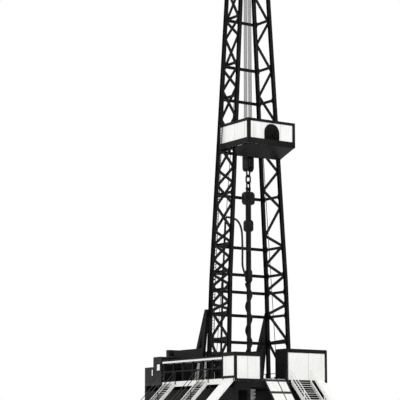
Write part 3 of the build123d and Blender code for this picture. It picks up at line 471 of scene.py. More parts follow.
def ropePaint():
    # six strands laid round the rope, with grease between them: UV runs round and along
    paint = Paint("wireRope", 0.12)
    u, v = paint.axes(paint.uv)[:2]
    strand = paint.wave(u * rope["strands"] + v * rope["strands"], 1.0)
    wires = paint.wave(u * rope["wires"] - v * rope["lay"], 1.0)
    grease = paint.step(strand, 0.55, 0.1)
    paint.set(Base_Color=paint.mix(grease, rope["steel"], rope["grease"]))
    paint.set(Metallic=0.35 - grease * 0.3)
    paint.set(Roughness=0.42 + grease * 0.2)
    paint.bump(strand + wires * 0.15, 0.004, 0.8)
    return paint


rubber = {"black": (0.012, 0.012, 0.012), "dust": (0.06, 0.057, 0.053), "wrap": 1.2, "dustScale": 14}


def hosePaint():
    # black rubber with the marks of the cloth it was wrapped in
    paint = Paint("hoseRubber", 0.3)
    u, v = paint.axes(paint.uv)[:2]
    wrap = paint.wave(u + v * rubber["wrap"], 1.0)
    dust = paint.step(paint.noise(rubber["dustScale"], 5), 0.5, 0.75)
    paint.set(Base_Color=paint.mix(dust * 0.5, rubber["black"], rubber["dust"]))
    paint.set(Roughness=0.62 + dust * 0.2)
    paint.bump(paint.step(wrap, 0.8, 0.95), 0.003, 0.5)
    return paint


paints = {
    # the black paint is black steel, and also painted shade on the right house's side walls and on the sheet
    # behind the arch
    "black": steelPaint("blackSteelAndShade", (0.0045, 0.0045, 0.005), (0.012, 0.012, 0.0125), 0.35, specular=0.10),
    "mast": steelPaint("mastSteel", (0.004, 0.004, 0.0045), (0.010, 0.010, 0.0105), 0.25, specular=0.08),
    "deck": deckPaint(),
    "wall": sheetPaint("wallSheet", rib=0.16, depth=0.012),
    "board": sheetPaint("windSheet", rib=0.11, depth=0.008),
    "trim": trimPaint(),
    "ramp": rampPaint(),
    "rail": railPaint(),
    "light": lightMachinePaint(),
    "chrome": studPaint(),
    "pane": panePaint(),
    "grating": gratingPaint(),
    "machine": machinePaint(),
    "bare": bareSteel(),
    "dark": darkSteel(),
    "rope": ropePaint(),
    "rubber": hosePaint(),
}
print("paints mixed", len(paints))

# right_house_side_walls are in none of these lists, so they take the black paint: painted shade on the right
# house's shaded side walls
nodePaints = {
    "deck": ("drill_floor", "racking_board"),
    "wall": (
        "doghouse_front_wall",
        "doghouse_side_walls",
        "doghouse_back_wall",
        "right_house_front_wall",
        "right_house_back_wall",
    ),
    "board": ("board_front_wall", "board_side_walls"),
    "trim": ("floor_fascia", "porch_roof", "slides", "stair_stringers"),
    "ramp": ("v_door_ramp",),
    "rail": ("stair_rails",),
    "grating": ("stair_treads",),
    "machine": ("engines", "rear_cabin"),
    "light": ("drawworks", "preventer_stack"),
    "bare": ("rotary_table", "drawworks_drum"),
    "dark": ("hook", "travelling_block", "swivel", "block_links", "spiral_kelly", "crown_sheaves"),
    "rope": ("anchor_lines",),
    "mast": tuple(name for name in nodes if name.startswith(("mast_", "aframe_", "crown_", "board_knees"))),
}


def paintNodes():
    # every node is black steel, except those that the lists above name; the right house's side walls are in
    # no list, so they are black as well: painted shade on that house's shaded sides
    for obj in nodes.values():
        obj.data.materials.clear()
        obj.data.materials.append(paints["black"].material)
    for key, names in nodePaints.items():
        for name in names:
            nodes[name].data.materials[0] = paints[key].material


paintNodes()
print("nodes painted", len(nodes))


# New pieces: arrays of points and faces, joined in one mesh that rides a body


def makePiece(name, shapes, paint, body, uv=None):
    # each shape's faces count on from the points before it
    # a piece with no body is a hose or rope, and is attached to no body
    counts = np.cumsum([0] + [len(points) for points, faces in shapes])
    points = np.vstack([points for points, faces in shapes])
    faces = []
    for start, (corners, rows) in zip(counts, shapes):
        faces += [(np.asarray(row) + start).tolist() for row in rows]
    mesh = bpy.data.meshes.new(name)
    mesh.from_pydata(points.tolist(), [], faces)
    mesh.materials.append(paints[paint].material)
    if uv is not None:
        layer = mesh.uv_layers.new(name="along")
        corner = np.empty(len(mesh.loops), dtype=np.int32)
        mesh.loops.foreach_get("vertex_index", corner)
        layer.data.foreach_set("uv", uv[corner].astype(np.float32).ravel())
    piece = bpy.data.objects.new(name, mesh)
    bpy.context.collection.objects.link(piece)
    if body:
        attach(piece, body)
    return piece


def gridFaces(rings, sides):
    # quads between each ring of points and the next, and a face that closes each end
    ring, side = np.meshgrid(np.arange(rings - 1), np.arange(sides), indexing="ij")
    start = ring * sides
    after = (side + 1) % sides
    quads = np.stack((start + side, start + after, start + sides + after, start + sides + side), axis=-1)
    ends = [np.arange(sides)[::-1], np.arange(sides) + (rings - 1) * sides]
    return list(quads.reshape(-1, 4)) + ends


def carry(profile, path, up=(0, 0, 1)):
    # a closed profile at each point of a path: place + across * u + upright * v
    path = np.asarray(path, float)
    along = np.gradient(path, axis=0)
    along /= np.linalg.norm(along, axis=1, keepdims=True)
    across = np.cross(along, np.broadcast_to(up, path.shape))
    across /= np.linalg.norm(across, axis=1, keepdims=True)
    upright = np.cross(across, along)
    profile = np.asarray(profile, float)
    sideways = across[:, None] * profile[None, :, :1]
    points = path[:, None] + sideways + upright[:, None] * profile[None, :, 1:]
    return points.reshape(-1, 3), gridFaces(len(path), len(profile))


def roundProfile(radius, sides):
    # a circle: cosine and sine of equal turns, times its radius
    turn = np.arange(sides) * (2 * pi / sides)
    return np.stack((np.cos(turn), np.sin(turn)), axis=1) * radius


def barProfile(width, height):
    # a rectangle about the origin
    return np.array(((-1, -1), (1, -1), (1, 1), (-1, 1))) * (width / 2, height / 2)


def rodUv(rings, sides, length, diameter):
    # once round the rod is 1, and along it the same distance counts the same
    around = np.tile(np.arange(sides) / sides, rings)
    along = np.repeat(np.linspace(0, length / (pi * diameter), rings), sides)
    return np.stack((around, along), axis=1)


# Rotary hose: a spline through the route, and a rubber tube along it

hose = {
    "route": (
        (-1.330, 0, 13.100),
        (-0.950, 0, 13.100),
        (-0.600, 0, 12.900),
        (-0.425, 0, 12.480),
        (-0.400, 0, 11.950),
        (-0.388, 0, 11.400),
        (-0.402, 0, 10.900),
        (-0.390, 0, 10.480),
        (-0.250, 0, 10.210),
    ),
    "diameter": 0.110,
    "sides": 16,
    "order": 3,
    "steps": 12,
}


def splinePoints(route):
    # a curve pulled towards each point of the route, which starts and ends on its first and last
    curve = bpy.data.curves.new("route", "CURVE")
    curve.dimensions = "3D"
    curve.resolution_u = hose["steps"]
    spline = curve.splines.new("NURBS")
    spline.points.add(len(route) - 1)
    spline.points.foreach_set("co", np.column_stack((route, np.ones(len(route)))).ravel())
    spline.order_u = hose["order"]
    spline.use_endpoint_u = True
    holder = bpy.data.objects.new("route", curve)
    bpy.context.collection.objects.link(holder)
    bpy.context.view_layer.update()
    drawn = bpy.data.meshes.new_from_object(holder)
    points = np.empty(len(drawn.vertices) * 3)
    drawn.vertices.foreach_get("co", points)
    bpy.data.objects.remove(holder)
    return points.reshape(-1, 3)


def makeHose():
    # a circle carried along the curve, whose length is the sum of its steps
    path = splinePoints(hose["route"])
    length = float(np.linalg.norm(np.diff(path, axis=0), axis=1).sum())
    tube = carry(roundProfile(hose["diameter"] / 2, hose["sides"]), path, (0, 1, 0))
    uv = rodUv(len(path), hose["sides"], length, hose["diameter"])
    piece = makePiece("hose_tube", [tube], "rubber", None, uv)
    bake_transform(piece)
    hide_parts("rotary_hose")
    print("hose", round(length, 3))


makeHose()

# Drilling lines: one rope up the front and one up the back of each block sheave

line = {
    "diameter": 0.034,
    "sheave": 0.470,
    "groove": 0.034,
    "clear": 0.0003,
    "pitch": 0.062,
    "count": 4,
    "steps": 30,
    "sides": 8,
}


def makeLines():
    # straight ropes from the block to the crown, each half a sheave over at its top
    low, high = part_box("drilling_lines")
    count, sides = line["count"], line["sides"]
    reach = line["sheave"] / 2 - line["groove"] + line["diameter"] / 2 + line["clear"]
    shapes, uvs = [], []
    share = np.linspace(0, 1, line["steps"])[:, None]
    for sheave in range(count):
        for side in (-1, 1):
            x = (sheave - (count - 1) / 2) * line["pitch"]
            start = np.array((x, side * reach, low[2]))
            end = np.array((x + side * line["pitch"] / 2, side * reach, high[2]))
            path = start + (end - start) * share
            shapes.append(carry(roundProfile(line["diameter"] / 2, sides), path, (0, 1, 0)))
            uvs.append(rodUv(len(path), sides, high[2] - low[2], line["diameter"]))
    piece = makePiece("rope_falls", shapes, "rope", None, np.vstack(uvs))
    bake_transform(piece)
    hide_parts("drilling_lines")


makeLines()
print("lines strung")

# Small fittings are profiles carried along paths, or one shape set down at many places


def rod(start, end, profile):
    # a profile carried straight from start to end, with its height upright
    return carry(profile, (start, end))


def post(x, y, low, high, profile):
    # an upright rod: its profile's width runs along X and its height along Y
    return carry(profile, ((x, y, low), (x, y, high)), (0, 1, 0))


def hexHead(radius, height, topShare=0.88):
    # a hexagon at the origin and the same hexagon at its height, slightly smaller
    turn = np.arange(6) * (pi / 3)
    ring = np.stack((np.cos(turn), np.sin(turn), 0 * turn), axis=1)
    points = np.vstack((ring * radius, ring * (radius * topShare) + (0, 0, height)))
    return points, gridFaces(2, 6)


def setDown(shape, places, facing):
    # the shape turned to face one way and set down at each place
    points, faces = shape
    facing = np.asarray(facing, float) / np.linalg.norm(facing)
    helper = (0, 0, 1) if abs(facing[2]) < 0.9 else (0, 1, 0)
    side = np.cross(helper, facing)
    side /= np.linalg.norm(side)
    turned = points @ np.stack((side, np.cross(facing, side), facing))
    return [(turned + place, faces) for place in np.atleast_2d(places)]


def boltRows(centre, along, across, rows, columns, reach, spread):
    # a grid of places about a centre, as far as reach along and spread across
    first = np.linspace(-reach, reach, rows)[:, None, None] * np.asarray(along, float)
    second = np.linspace(-spread, spread, columns)[None, :, None] * np.asarray(across, float)
    return (np.asarray(centre, float) + first + second).reshape(-1, 3)


def boltRing(centre, radius, count):
    # places on a level circle about a centre, at equal turns
    angle = np.arange(count) * (2 * pi / count)
    return np.asarray(centre, float) + np.stack((np.cos(angle), np.sin(angle), 0 * angle), axis=1) * radius


def soften(piece, width):
    # an edge rounded in two steps wherever faces meet at an angle
    edge = piece.modifiers.new("edge", "BEVEL")
    edge.width = width
    edge.segments = 2
    edge.limit_method = "ANGLE"
    return piece


# Black frames round the white walls: narrow is the share of a side bar's width on other walls

trim = {
    "houseTop": 0.15,
    "houseSide": 0.12,
    "boardTop": 0.15,
    "boardSide": 0.16,
    "boardFoot": 0.30,
    "narrow": 0.6,
    "proud": 0.022,
    "bevel": 0.006,
}


def frameRound(low, high, top, side, y, foot):
    # four flat bars round a wall's front face, which lap the wall's corners
    thick = trim["proud"]
    face = y - thick / 2
    wide = side + thick
    right = min(high[0] + thick, cadHigh[0])
    bars = []
    for x in (low[0] - thick + wide / 2, right - wide / 2):
        bars.append(post(x, face, low[2], high[2], barProfile(wide, thick)))
    for z, height in ((high[2] - top / 2, top), (low[2] + foot / 2, foot)):
        bars.append(rod((low[0] + side, face, z), (high[0] - side, face, z), barProfile(thick, height)))
    return bars


def sideFrame(low, high, top, side, x, out, foot):
    # the same round a side wall, whose face looks along X
    thick = trim["proud"]
    face = x + out * thick / 2
    bars = []
    for y in (low[1] + side / 2, high[1] - side / 2):
        bars.append(post(face, y, low[2], high[2], barProfile(thick, side)))
    for z, height in ((high[2] - top / 2, top), (low[2] + foot / 2, foot)):
        bars.append(rod((face, low[1] + side, z), (face, high[1] - side, z), barProfile(thick, height)))
    return bars


def makeFrames():
    # bars follow the edges of the walls' boxes, where a side starts at the front wall's face
    bars = []
    for house in ("doghouse", "right_house", "board"):
        board = house == "board"
        top = trim["boardTop"] if board else trim["houseTop"]
        side = trim["boardSide"] if board else trim["houseSide"]
        foot = trim["boardFoot"] if board else side
        narrow = side * trim["narrow"]
        low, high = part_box(house + "_front_wall")
        bars += frameRound(low, high, top, side, low[1], foot)
        front = low[1]
        low, high = [np.array(corner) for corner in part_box(house + "_side_walls")]
        low[1] = front
        if not board:
            high[1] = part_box(house + "_back_wall")[1][1]
        bars += sideFrame(low, high, top, narrow, low[0], -1, foot)
        if high[0] + trim["proud"] < cadHigh[0]:
            bars += sideFrame(low, high, top, narrow, high[0], 1, foot)
        if not board:
            low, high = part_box(house + "_back_wall")
            bars += frameRound(low, high, top, narrow, high[1] + trim["proud"], foot)
    # one bar along the porch roof's outer edge
    low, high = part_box("porch_roof")
    edge = trim["houseSide"] * trim["narrow"]
    start = np.array((low[0] - trim["proud"] / 2, low[1], high[2] - edge / 2))
    bars.append(rod(start, (start[0], high[1], start[2]), barProfile(trim["proud"], edge)))
    soften(makePiece("wall_frames", bars, "black", "structure"), trim["bevel"])
    print("wall frames", len(bars))


makeFrames()

# The ring in the front wall's arch

arch = {
    "width": 0.95,
    "height": 0.95,
    "floor": 16.93,
    "lip": 0.014,
    "depth": 0.075,
    "steps": 25,
    "bevel": 0.004,
}


def makeArch():
    # a bar carried up one side, round half a circle and down the other side
    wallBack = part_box("board_front_wall")[1][1]
    radius = arch["width"] / 2 - arch["lip"] / 2
    turn = np.linspace(pi, 0, arch["steps"])
    spring = arch["floor"] + arch["height"] - arch["width"] / 2
    bend = np.stack((np.cos(turn) * radius, 0 * turn, np.sin(turn) * radius + spring), axis=1)
    foot = np.array(((-radius, 0, arch["floor"]),))
    path = np.vstack((foot, bend, foot * (-1, 1, 1))) + (0, wallBack - arch["depth"] / 2, 0)
    shapes = [carry(barProfile(arch["lip"], arch["depth"]), path, (0, 1, 0))]
    soften(makePiece("arch_ring", shapes, "black", "structure"), arch["bevel"])


makeArch()

# A black sheet behind the arch, between the mast's front legs: painted shade, a dark sheet put where the
# inside of the racking board lies in shade

shadeSheet = {
    "half": 1.24,
    "low": 17.06,
    "high": 18.16,
    "y": -1.055,
    "ripple": 0.012,
    "pitch": 0.12,
    "columns": 125,
    "rows": 6,
    "thick": 0.004,
}


def makeShadeSheet():
    # corrugated sheet: its depth is a sine of the distance across
    columns, rows = shadeSheet["columns"], shadeSheet["rows"]
    across = np.linspace(-shadeSheet["half"], shadeSheet["half"], columns)
    depth = shadeSheet["y"] + shadeSheet["ripple"] * np.sin(across * (2 * pi / shadeSheet["pitch"]))
    up = np.linspace(shadeSheet["low"], shadeSheet["high"], rows)
    grid = np.stack(np.broadcast_arrays(across[None, :], depth[None, :], up[:, None]), axis=-1)
    row, column = np.meshgrid(np.arange(rows - 1), np.arange(columns - 1), indexing="ij")
    first = row * columns + column
    faces = np.stack((first, first + 1, first + columns + 1, first + columns), axis=-1).reshape(-1, 4)
    shapes = [(grid.reshape(-1, 3), list(faces))]
    # the sheet is painted black: painted shade seen through the arch
    sheet = makePiece("board_shade_sheet", shapes, "black", "structure")
    wall = sheet.modifiers.new("wall", "SOLIDIFY")
    wall.thickness = shadeSheet["thick"]


makeShadeSheet()
print("arch framed")

# The mast's legs lean in, more steeply above the splice: half widths and half depths by height

mast = {
    "floor": 4.572,
    "splice": 9.8,
    "crown": 26.2,
    "halfWidths": (1.95, 1.79, 0.84),
    "halfDepths": (0.925, 0.645),
}


def legPlace(xSide, ySide, z):
    # straight lines between the known heights
    z = np.asarray(z, float)
    heights = (mast["floor"], mast["splice"], mast["crown"])
    x = np.interp(z, heights, mast["halfWidths"])
    y = np.interp(z, (mast["floor"], mast["crown"]), mast["halfDepths"])
    return np.stack((xSide * x, ySide * y, z), axis=-1)


# Apron under the board: a plate that slopes from its front edge back to the legs, on close-set struts

apron = {
    "front": -2.143,
    "frontInset": 0.02,
    "frontZ": 16.736,
    "backZ": 16.30,
    "beforeLegs": 0.10,
    "half": 1.46,
    "plate": 0.02,
    "struts": 11,
    "strut": 0.07,
    "strutShare": 0.8,
    "spread": 0.97,
    "girt": (0.09, 0.14),
    "girtPlace": (0.02, 0.06),
    "cheek": 0.012,
    "strip": (0.034, 0.012),
    "stripFront": -2.12,
    "stripZ": 16.744,
    "stripInset": 0.015,
    "bevel": 0.003,
}


def makeApron():
    # the plate, its struts and its girt follow one sloping line from start to end
    half, strut = apron["half"], apron["strut"]
    back = legPlace(0, -1, apron["backZ"])[1] - apron["beforeLegs"]
    start = np.array((0, apron["front"] + apron["frontInset"], apron["frontZ"]))
    end = np.array((0, back, apron["backZ"]))
    shapes = [carry(barProfile(half * 2, apron["plate"]), (start, end))]
    for x in np.linspace(-half, half, apron["struts"]) * apron["spread"]:
        lift = np.array((x, 0, apron["plate"] / 2 + strut / 2))
        shapes.append(rod(start + lift, end + lift, barProfile(strut * apron["strutShare"], strut)))
    behind, above = apron["girtPlace"]
    girt = barProfile(*apron["girt"])
    shapes.append(rod(end + (-half, behind, above), end + (half, behind, above), girt))
    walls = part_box("board_side_walls")
    # a cheek on each side of the plate, and a strip that closes the foot of each side wall
    for side in (-1, 1):
        x = side * half
        corners = ((x, start[1], start[2]), (x, end[1], end[2]), (x, end[1], start[2]))
        inner = tuple((x - side * apron["cheek"], y, z) for x, y, z in corners)
        faces = [(0, 1, 2), (5, 4, 3), (0, 3, 4, 1), (1, 4, 5, 2), (2, 5, 3, 0)]
        if side > 0:
            faces = [face[::-1] for face in faces]
        shapes.append((np.array(corners + inner), faces))
        edge = side * (walls[1][0] - apron["stripInset"])
        front = np.array((edge, apron["stripFront"], apron["stripZ"]))
        shapes.append(rod(front, (edge, walls[1][1], front[2]), barProfile(*apron["strip"])))
    soften(makePiece("board_apron", shapes, "black", "structure"), apron["bevel"])


makeApron()
print("apron hung")

# Mast fittings: splice plates bolted to each leg, and bolts on each gusset

splice = {
    "heights": (9.8, 15.25, 20.75),
    "legDepth": 0.18,
    "length": 0.56,
    "width": 0.15,
    "thick": 0.014,
    "rows": 6,
    "columns": 2,
    "reachShare": 0.42,
    "spreadShare": 0.3,
    "bolt": (0.013, 0.012),
    "bevel": 0.003,
}

gusset = {
    "front": (2.158, 4.004, 5.542, 7.142, 9.183, 11.101, 13.868, 16.552, 19.262),
    "back": (2.078, 3.626, 4.914, 6.315, 7.833, 10.288, 12.434, 15.431, 18.291, 20.952),
    "braceThick": 0.07,
    "inset": 0.06,
    "bolts": (3, 2, 0.09, 0.035),  # rows, columns, reach and spread
}


def spliceLeg(xSide, ySide, z, bolt):
    # one plate along the leg's outer face, and its bolts in rows along the leg
    length, thick = splice["length"], splice["thick"]
    ends = legPlace(xSide, ySide, (z - length / 2, z + length / 2))
    out = np.array((0, ySide, 0))
    face = out * (splice["legDepth"] / 2 + thick / 2)
    plate = carry(barProfile(splice["width"], thick), ends + face, (0, 1, 0))
    along = ends[1] - ends[0]
    along /= np.linalg.norm(along)
    centre = legPlace(xSide, ySide, z) + out * (splice["legDepth"] / 2 + thick)
    reach, spread = length * splice["reachShare"], splice["width"] * splice["spreadShare"]
    places = boltRows(centre, along, (1, 0, 0), splice["rows"], splice["columns"], reach, spread)
    return plate, setDown(bolt, places, out)


def makeMastFittings():
    # plates at each splice of each leg, and a grid of bolts at each of its gussets
    plates, bolts = [], []
    bolt = hexHead(*splice["bolt"])
    for xSide in (-1, 1):
        for ySide in (-1, 1):
            for z in splice["heights"]:
                plate, heads = spliceLeg(xSide, ySide, z, bolt)
                plates.append(plate)
                bolts += heads
        out = np.array((xSide, 0, 0))
        for ySide, heights in ((-1, gusset["front"]), (1, gusset["back"])):
            for centre in legPlace(xSide, ySide, np.array(heights) + mast["floor"]):
                middle = centre + out * gusset["braceThick"] / 2 - (0, ySide * gusset["inset"], 0)
                bolts += setDown(bolt, boltRows(middle, (0, 0, 1), (0, 1, 0), *gusset["bolts"]), out)
    soften(makePiece("splice_plates", plates, "mast", "structure"), splice["bevel"])
    makePiece("mast_bolts", bolts, "chrome", "structure")
    print("mast bolts", len(bolts))


makeMastFittings()

# Drum: one layer of rope wound on it

drum = {
    "axisY": 2.65,
    "axisZ": 5.15,
    "radius": 0.26,
    "half": 0.70,
    "rope": 0.034,
    "clear": 0.001,
    "turns": 40,
    "steps": 20,
    "sides": 6,
}


def makeDrumRope():
    # a helix on the drum's core: the angle grows evenly while the place goes along X
    steps = drum["turns"] * drum["steps"]
    angle = np.linspace(0, 2 * pi * drum["turns"], steps)
    reach = drum["radius"] + drum["rope"] / 2 + drum["clear"]
    x = np.linspace(-drum["half"], drum["half"], steps)
    path = np.stack((x, drum["axisY"] + np.cos(angle) * reach, drum["axisZ"] + np.sin(angle) * reach), axis=1)
    tube = carry(roundProfile(drum["rope"] / 2, drum["sides"]), path, (1, 0.001, 0))
    uv = rodUv(steps, drum["sides"], 2 * pi * reach * drum["turns"], drum["rope"])
    makePiece("drum_rope", [tube], "rope", "structure", uv)


makeDrumRope()
print("drum wound")

# Studs in rings: round the rotary table, and nuts on both faces of the preventers' flanges

rings = {
    "stud": (0.016, 0.03),
    "tableRadius": 0.39,
    "tableCount": 24,
    "flanges": 5,
    "flangePitch": 0.19,
    "flangeThick": 0.08,
    "flangeRadius": 0.312,
    "flangeCount": 16,
}


def makeStuds():
    # each ring is a circle of equal turns, and flanges lie at equal steps down from the top
    stud = hexHead(*rings["stud"])
    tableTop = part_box("rotary_table")[1][2]
    fixed = setDown(stud, boltRing((0, 0, tableTop), rings["tableRadius"], rings["tableCount"]), (0, 0, 1))
    makePiece("table_studs", fixed, "chrome", "structure")
    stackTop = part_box("preventer_stack")[1][2]
    ring = boltRing((0, 0, 0), rings["flangeRadius"], rings["flangeCount"])
    nuts = []
    for flange in range(rings["flanges"]):
        top = stackTop - flange * rings["flangePitch"]
        if flange:  # the first flange is against the rotary table
            nuts += setDown(stud, ring + (0, 0, top), (0, 0, 1))
        nuts += setDown(stud, ring + (0, 0, top - rings["flangeThick"]), (0, 0, -1))
    makePiece("flange_nuts", nuts, "chrome", "structure")


makeStuds()
print("studs set")

# Engines: cooling slats and posts on the radiators, and rocker covers and fins on the blocks

engine = {"count": 3, "spacing": 1.15, "front": 4.05, "length": 1.5, "top": 6.012}

radiator = {
    "width": 0.86,
    "low": 4.72,
    "top": 6.402,
    "inset": 0.06,
    "topInset": 0.08,
    "slats": 26,
    "slat": (0.024, 0.022),
    "slatProud": 0.012,
    "post": (0.03, 0.03),
    "postProud": 0.015,
    "postReach": 0.04,
    "bevel": 0.003,
}

cover = {
    "aside": 0.19,
    "width": 0.16,
    "rise": 0.08,
    "setback": 0.08,
    "length": 0.95,
    "sink": 0.004,
    "steps": 9,
    "fins": 9,
    "fin": (0.03, 0.05),
    "finAside": 0.318,
    "finFront": 0.12,
    "finBack": 0.42,
    "finLow": 4.78,
    "finHigh": 5.75,
    "bevel": 0.004,
}


def makeEngineFittings():
    # units stand at equal spacings about the middle, with slats at equal steps up each one
    slats, covers = [], []
    back = engine["front"] + engine["length"]
    half = radiator["width"] / 2 - radiator["inset"]
    low, high = radiator["low"] + radiator["inset"], radiator["top"] - radiator["topInset"]
    # a rocker cover is half an ellipse carried along the block
    turn = np.linspace(0, pi, cover["steps"])
    dome = np.stack((np.cos(turn) * cover["width"] / 2, np.sin(turn) * cover["rise"]), axis=1)
    for unit in range(engine["count"]):
        x = (unit - (engine["count"] - 1) / 2) * engine["spacing"]
        y = back + radiator["slatProud"]
        for z in np.linspace(low, high, radiator["slats"]):
            slats.append(rod((x - half, y, z), (x + half, y, z), barProfile(*radiator["slat"])))
        for side in (-1, 1):
            edge = x + side * (half + radiator["slatProud"])
            reach = radiator["postReach"]
            bar = barProfile(*radiator["post"])
            slats.append(post(edge, back + radiator["postProud"], low - reach, high + reach, bar))
            aside, along, top = x + side * cover["aside"], engine["front"] + cover["setback"], engine["top"]
            start = (aside, along, top - cover["sink"])
            covers.append(rod(start, (aside, along + cover["length"], start[2]), dome))
            first, last = engine["front"] + cover["finFront"], back - cover["finBack"]
            outer = x + side * cover["finAside"]
            fin = barProfile(*cover["fin"])
            for place in np.linspace(first, last, cover["fins"]):
                covers.append(post(outer, place, cover["finLow"], cover["finHigh"], fin))
    soften(makePiece("radiator_slats", slats, "machine", "structure"), radiator["bevel"])
    soften(makePiece("rocker_covers", covers, "machine", "structure"), cover["bevel"])
    print("engine fittings", len(slats) + len(covers))


makeEngineFittings()

# Base frames: a bolted gusset plate at each panel point, on the outer face of both outer frames

base = {
    "left": -2.790,
    "right": 2.946,
    "ys": (-2.61, -0.53, 1.55, 3.63, 5.71),
    "inset": 0.08,
    "lowZ": 0.22,
    "highZ": 3.36,
    "wide": 0.34,
    "tall": 0.30,
    "thick": 0.012,
    "rows": 3,
    "columns": 4,
    "boltShare": 0.38,
    "bolt": (0.016, 0.014),
    "bevel": 0.003,
}


def makeBasePlates():
    # plates alternate between the frame's bottom and top, and those at its ends are moved in
    plates, bolts = [], []
    bolt = hexHead(*base["bolt"])
    wide, tall, thick = base["wide"], base["tall"], base["thick"]
    reach, spread = tall * base["boltShare"], wide * base["boltShare"]
    for x, out in ((base["left"], -1), (base["right"], 1)):
        for panel, y in enumerate(base["ys"]):
            z = base["lowZ"] if panel % 2 == 0 else base["highZ"]
            y = min(max(y, base["ys"][0] + base["inset"]), base["ys"][-1] - base["inset"])
            start = (x + out * thick / 2, y - wide / 2, z)
            plates.append(rod(start, (start[0], start[1] + wide, z), barProfile(thick, tall)))
            centre = (x + out * thick, y, z)
            places = boltRows(centre, (0, 0, 1), (0, 1, 0), base["rows"], base["columns"], reach, spread)
            bolts += setDown(bolt, places, (out, 0, 0))
    soften(makePiece("base_plates", plates, "black", "structure"), base["bevel"])
    makePiece("base_bolts", bolts, "chrome", "structure")
    print("base bolts", len(bolts))


makeBasePlates()

# Doorways: a flat frame round the sides and top of each, on the wall's outer face

doorway = {
    "width": 0.45,
    "top": 5.592,
    "floor": 4.572,
    "bar": 0.05,
    "places": ((-1.89, -1.60), (0.605, -1.83)),
    "bevel": 0.004,
}


def makeDoorFrames():
    # two posts and a head over them, half as deep as they are wide
    shapes = []
    bar, width = doorway["bar"], doorway["width"]
    for x, y in doorway["places"]:
        y += bar / 4
        for edge in (x - bar / 2, x + width + bar / 2):
            shapes.append(post(edge, y, doorway["floor"], doorway["top"], barProfile(bar, bar / 2)))
        top = doorway["top"] + bar / 2
        shapes.append(rod((x - bar, y, top), (x + width + bar, y, top), barProfile(bar / 2, bar)))
    soften(makePiece("door_frames", shapes, "black", "structure"), doorway["bevel"])


makeDoorFrames()
print("doorways framed")

# Drawworks: a round bolted cover with a cap on each outer side, and louvres behind it

winch = {
    "side": 1.25,
    "axisY": 2.65,
    "axisZ": 5.15,
    "cover": 0.30,
    "coverSides": 40,
    "capShare": 0.42,
    "capSides": 24,
    "thick": 0.03,
    "bolts": 16,
    "boltShare": 0.86,
    "bolt": (0.014, 0.012),
    "louvres": 7,
    "louvreZ": (4.80, 5.10),
    "louvreBehind": 0.42,
    "louvreLength": 0.34,
    "louvreProud": 0.008,
    "louvre": (0.016, 0.022),
    "bevel": 0.004,
}


def makeWinchFittings():
    # a disc with a smaller disc on it, and studs on a circle at a share of its radius
    covers, bolts = [], []
    stud = hexHead(*winch["bolt"])
    thick = winch["thick"]
    for side in (-1, 1):
        start = np.array((side * winch["side"], winch["axisY"], winch["axisZ"]))
        out = np.array((side, 0, 0))
        plate = roundProfile(winch["cover"], winch["coverSides"])
        cap = roundProfile(winch["cover"] * winch["capShare"], winch["capSides"])
        covers.append(rod(start, start + out * thick, plate))
        covers.append(rod(start, start + out * thick * 2, cap))
        turn = np.arange(winch["bolts"]) * (2 * pi / winch["bolts"])
        ring = np.stack((0 * turn, np.cos(turn), np.sin(turn)), axis=1) * winch["cover"] * winch["boltShare"]
        bolts += setDown(stud, start + out * thick + ring, out)
        x = side * (winch["side"] + winch["louvreProud"])
        y = winch["axisY"] + winch["louvreBehind"]
        for z in np.linspace(*winch["louvreZ"], winch["louvres"]):
            covers.append(rod((x, y, z), (x, y + winch["louvreLength"], z), barProfile(*winch["louvre"])))
    soften(makePiece("winch_covers", covers, "light", "structure"), winch["bevel"])
    makePiece("winch_studs", bolts, "chrome", "structure")
    print("winch fittings", len(covers) + len(bolts))


makeWinchFittings()

# Travelling gear: nuts on the pins, and bolts on the block's cheeks and the hook's faces

gear = {
    "cheek": 0.214,
    "pinZs": (16.6, 15.75),
    "nut": 0.085,
    "nutThick": 0.035,
    "hookEar": 0.125,
    "hookPinZ": 14.7402,
    "hookNutShare": 0.7,
    "hookNutThick": 0.02,
    "bolt": (0.018, 0.014),
    "cheekZs": (15.98, 16.28),
    "cheekBolts": (2, 3, 0.05, 0.15),  # rows, columns, reach and spread
    "hookFace": 0.11,
    "hookBolts": 4,
    "hookRows": ((14.02, 0.24), (14.40, 0.24), (12.52, 0.15), (12.96, 0.15)),  # height and spread
}


def makeGearFittings():
    # the same heads on both sides, each facing out
    nuts = []
    nut = hexHead(gear["nut"], gear["nutThick"])
    hookNut = hexHead(gear["nut"] * gear["hookNutShare"], gear["hookNutThick"])
    bolt = hexHead(*gear["bolt"])
    for side in (-1, 1):
        out = (side, 0, 0)
        x = side * gear["cheek"]
        for z in gear["pinZs"]:
            nuts += setDown(nut, (x, 0, z), out)
        for z in gear["cheekZs"]:
            places = boltRows((x, 0, z), (0, 0, 1), (0, 1, 0), *gear["cheekBolts"])
            nuts += setDown(bolt, places, out)
        nuts += setDown(hookNut, (side * gear["hookEar"], 0, gear["hookPinZ"]), out)
        # pairs of bolts on the hook's front and back
        y = side * gear["hookFace"]
        for z, spread in gear["hookRows"]:
            places = boltRows((0, y, z), (0, 0, 1), (1, 0, 0), 1, gear["hookBolts"], 0, spread)
            nuts += setDown(bolt, places, (0, side, 0))
    makePiece("gear_nuts", nuts, "dark", "travelling")
    print("gear nuts", len(nuts))


makeGearFittings()

# Rear cabin: framed windows on its outer side, each a place along Y and Z with a width and a height

cabin = {
    "side": -2.790,
    "proud": 0.006,
    "frame": 0.035,
    "frameDepth": 0.03,
    "paneDepth": 0.010,
    "paneSink": 0.002,
    "windows": ((4.42, 5.38, 0.34, 0.36), (5.03, 5.12, 0.16, 0.36)),
    "bevel": 0.003,
}


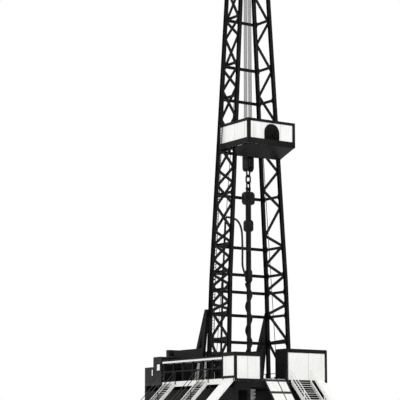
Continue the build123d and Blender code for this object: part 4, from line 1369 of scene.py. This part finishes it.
def makeCabinFittings():
    # a bar along each edge of a window, and a thin pane between them
    frames, panes = [], []
    bar = cabin["frame"]
    profile = barProfile(cabin["frameDepth"], bar)
    x = cabin["side"] - cabin["proud"]
    for y, z, width, height in cabin["windows"]:
        for edge in (y - width / 2, y + width / 2):
            low, high = z - height / 2 - bar / 2, z + height / 2 + bar / 2
            frames.append(post(x, edge, low, high, profile))
        for edge in (z - height / 2, z + height / 2):
            frames.append(rod((x, y - width / 2, edge), (x, y + width / 2, edge), profile))
        inner = x + cabin["paneSink"]
        glazing = barProfile(cabin["paneDepth"], height)
        panes.append(rod((inner, y - width / 2, z), (inner, y + width / 2, z), glazing))
    soften(makePiece("cabin_window_frames", frames, "black", "structure"), cabin["bevel"])
    makePiece("cabin_panes", panes, "pane", "structure")


makeCabinFittings()
print("cabin fitted")

# Floor and light: a pale floor, a white surround and one large soft light

studio = {
    "floor": 900.0,
    "floorPale": (0.86, 0.86, 0.86),
    "floorShade": (0.80, 0.80, 0.80),
    "floorRoughness": 0.8,
    "floorScale": 0.3,
    "surround": 1.0,
    "keyPlace": (-45, -55, 60),
    "keyAim": (0, 0, 12),
    "keyPower": 16000,
    "keySize": 40,
}


def makeStudio():
    # the light is turned to look from its place to its aim
    mesh = bpy.data.meshes.new("studio_floor")
    half = studio["floor"]
    corners = [(-half, -half, 0), (half, -half, 0), (half, half, 0), (-half, half, 0)]
    mesh.from_pydata(corners, [], [(0, 1, 2, 3)])
    pale = Paint("paleFloor", 0.3)
    colour = pale.mix(pale.noise(studio["floorScale"], 3), studio["floorPale"], studio["floorShade"])
    pale.set(Base_Color=colour, Roughness=studio["floorRoughness"])
    mesh.materials.append(pale.material)
    floor = bpy.data.objects.new("studio_floor", mesh)
    bpy.context.collection.objects.link(floor)
    world = bpy.data.worlds.new("surround")
    bpy.context.scene.world = world
    world.use_nodes = True
    background = world.node_tree.nodes["Background"]
    background.inputs["Color"].default_value = (1, 1, 1, 1)
    background.inputs["Strength"].default_value = studio["surround"]
    light = bpy.data.lights.new("key", "AREA")
    light.size = studio["keySize"]
    light.energy = studio["keyPower"]
    key = bpy.data.objects.new("key", light)
    key.location = studio["keyPlace"]
    aim = np.array(studio["keyAim"]) - studio["keyPlace"]
    key.rotation_euler = (math.acos(aim[2] / np.linalg.norm(aim)) - pi, 0, math.atan2(-aim[0], aim[1]) + pi)
    bpy.context.collection.objects.link(key)
    bpy.context.scene.view_settings.view_transform = "Standard"


makeStudio()
print("studio lit")
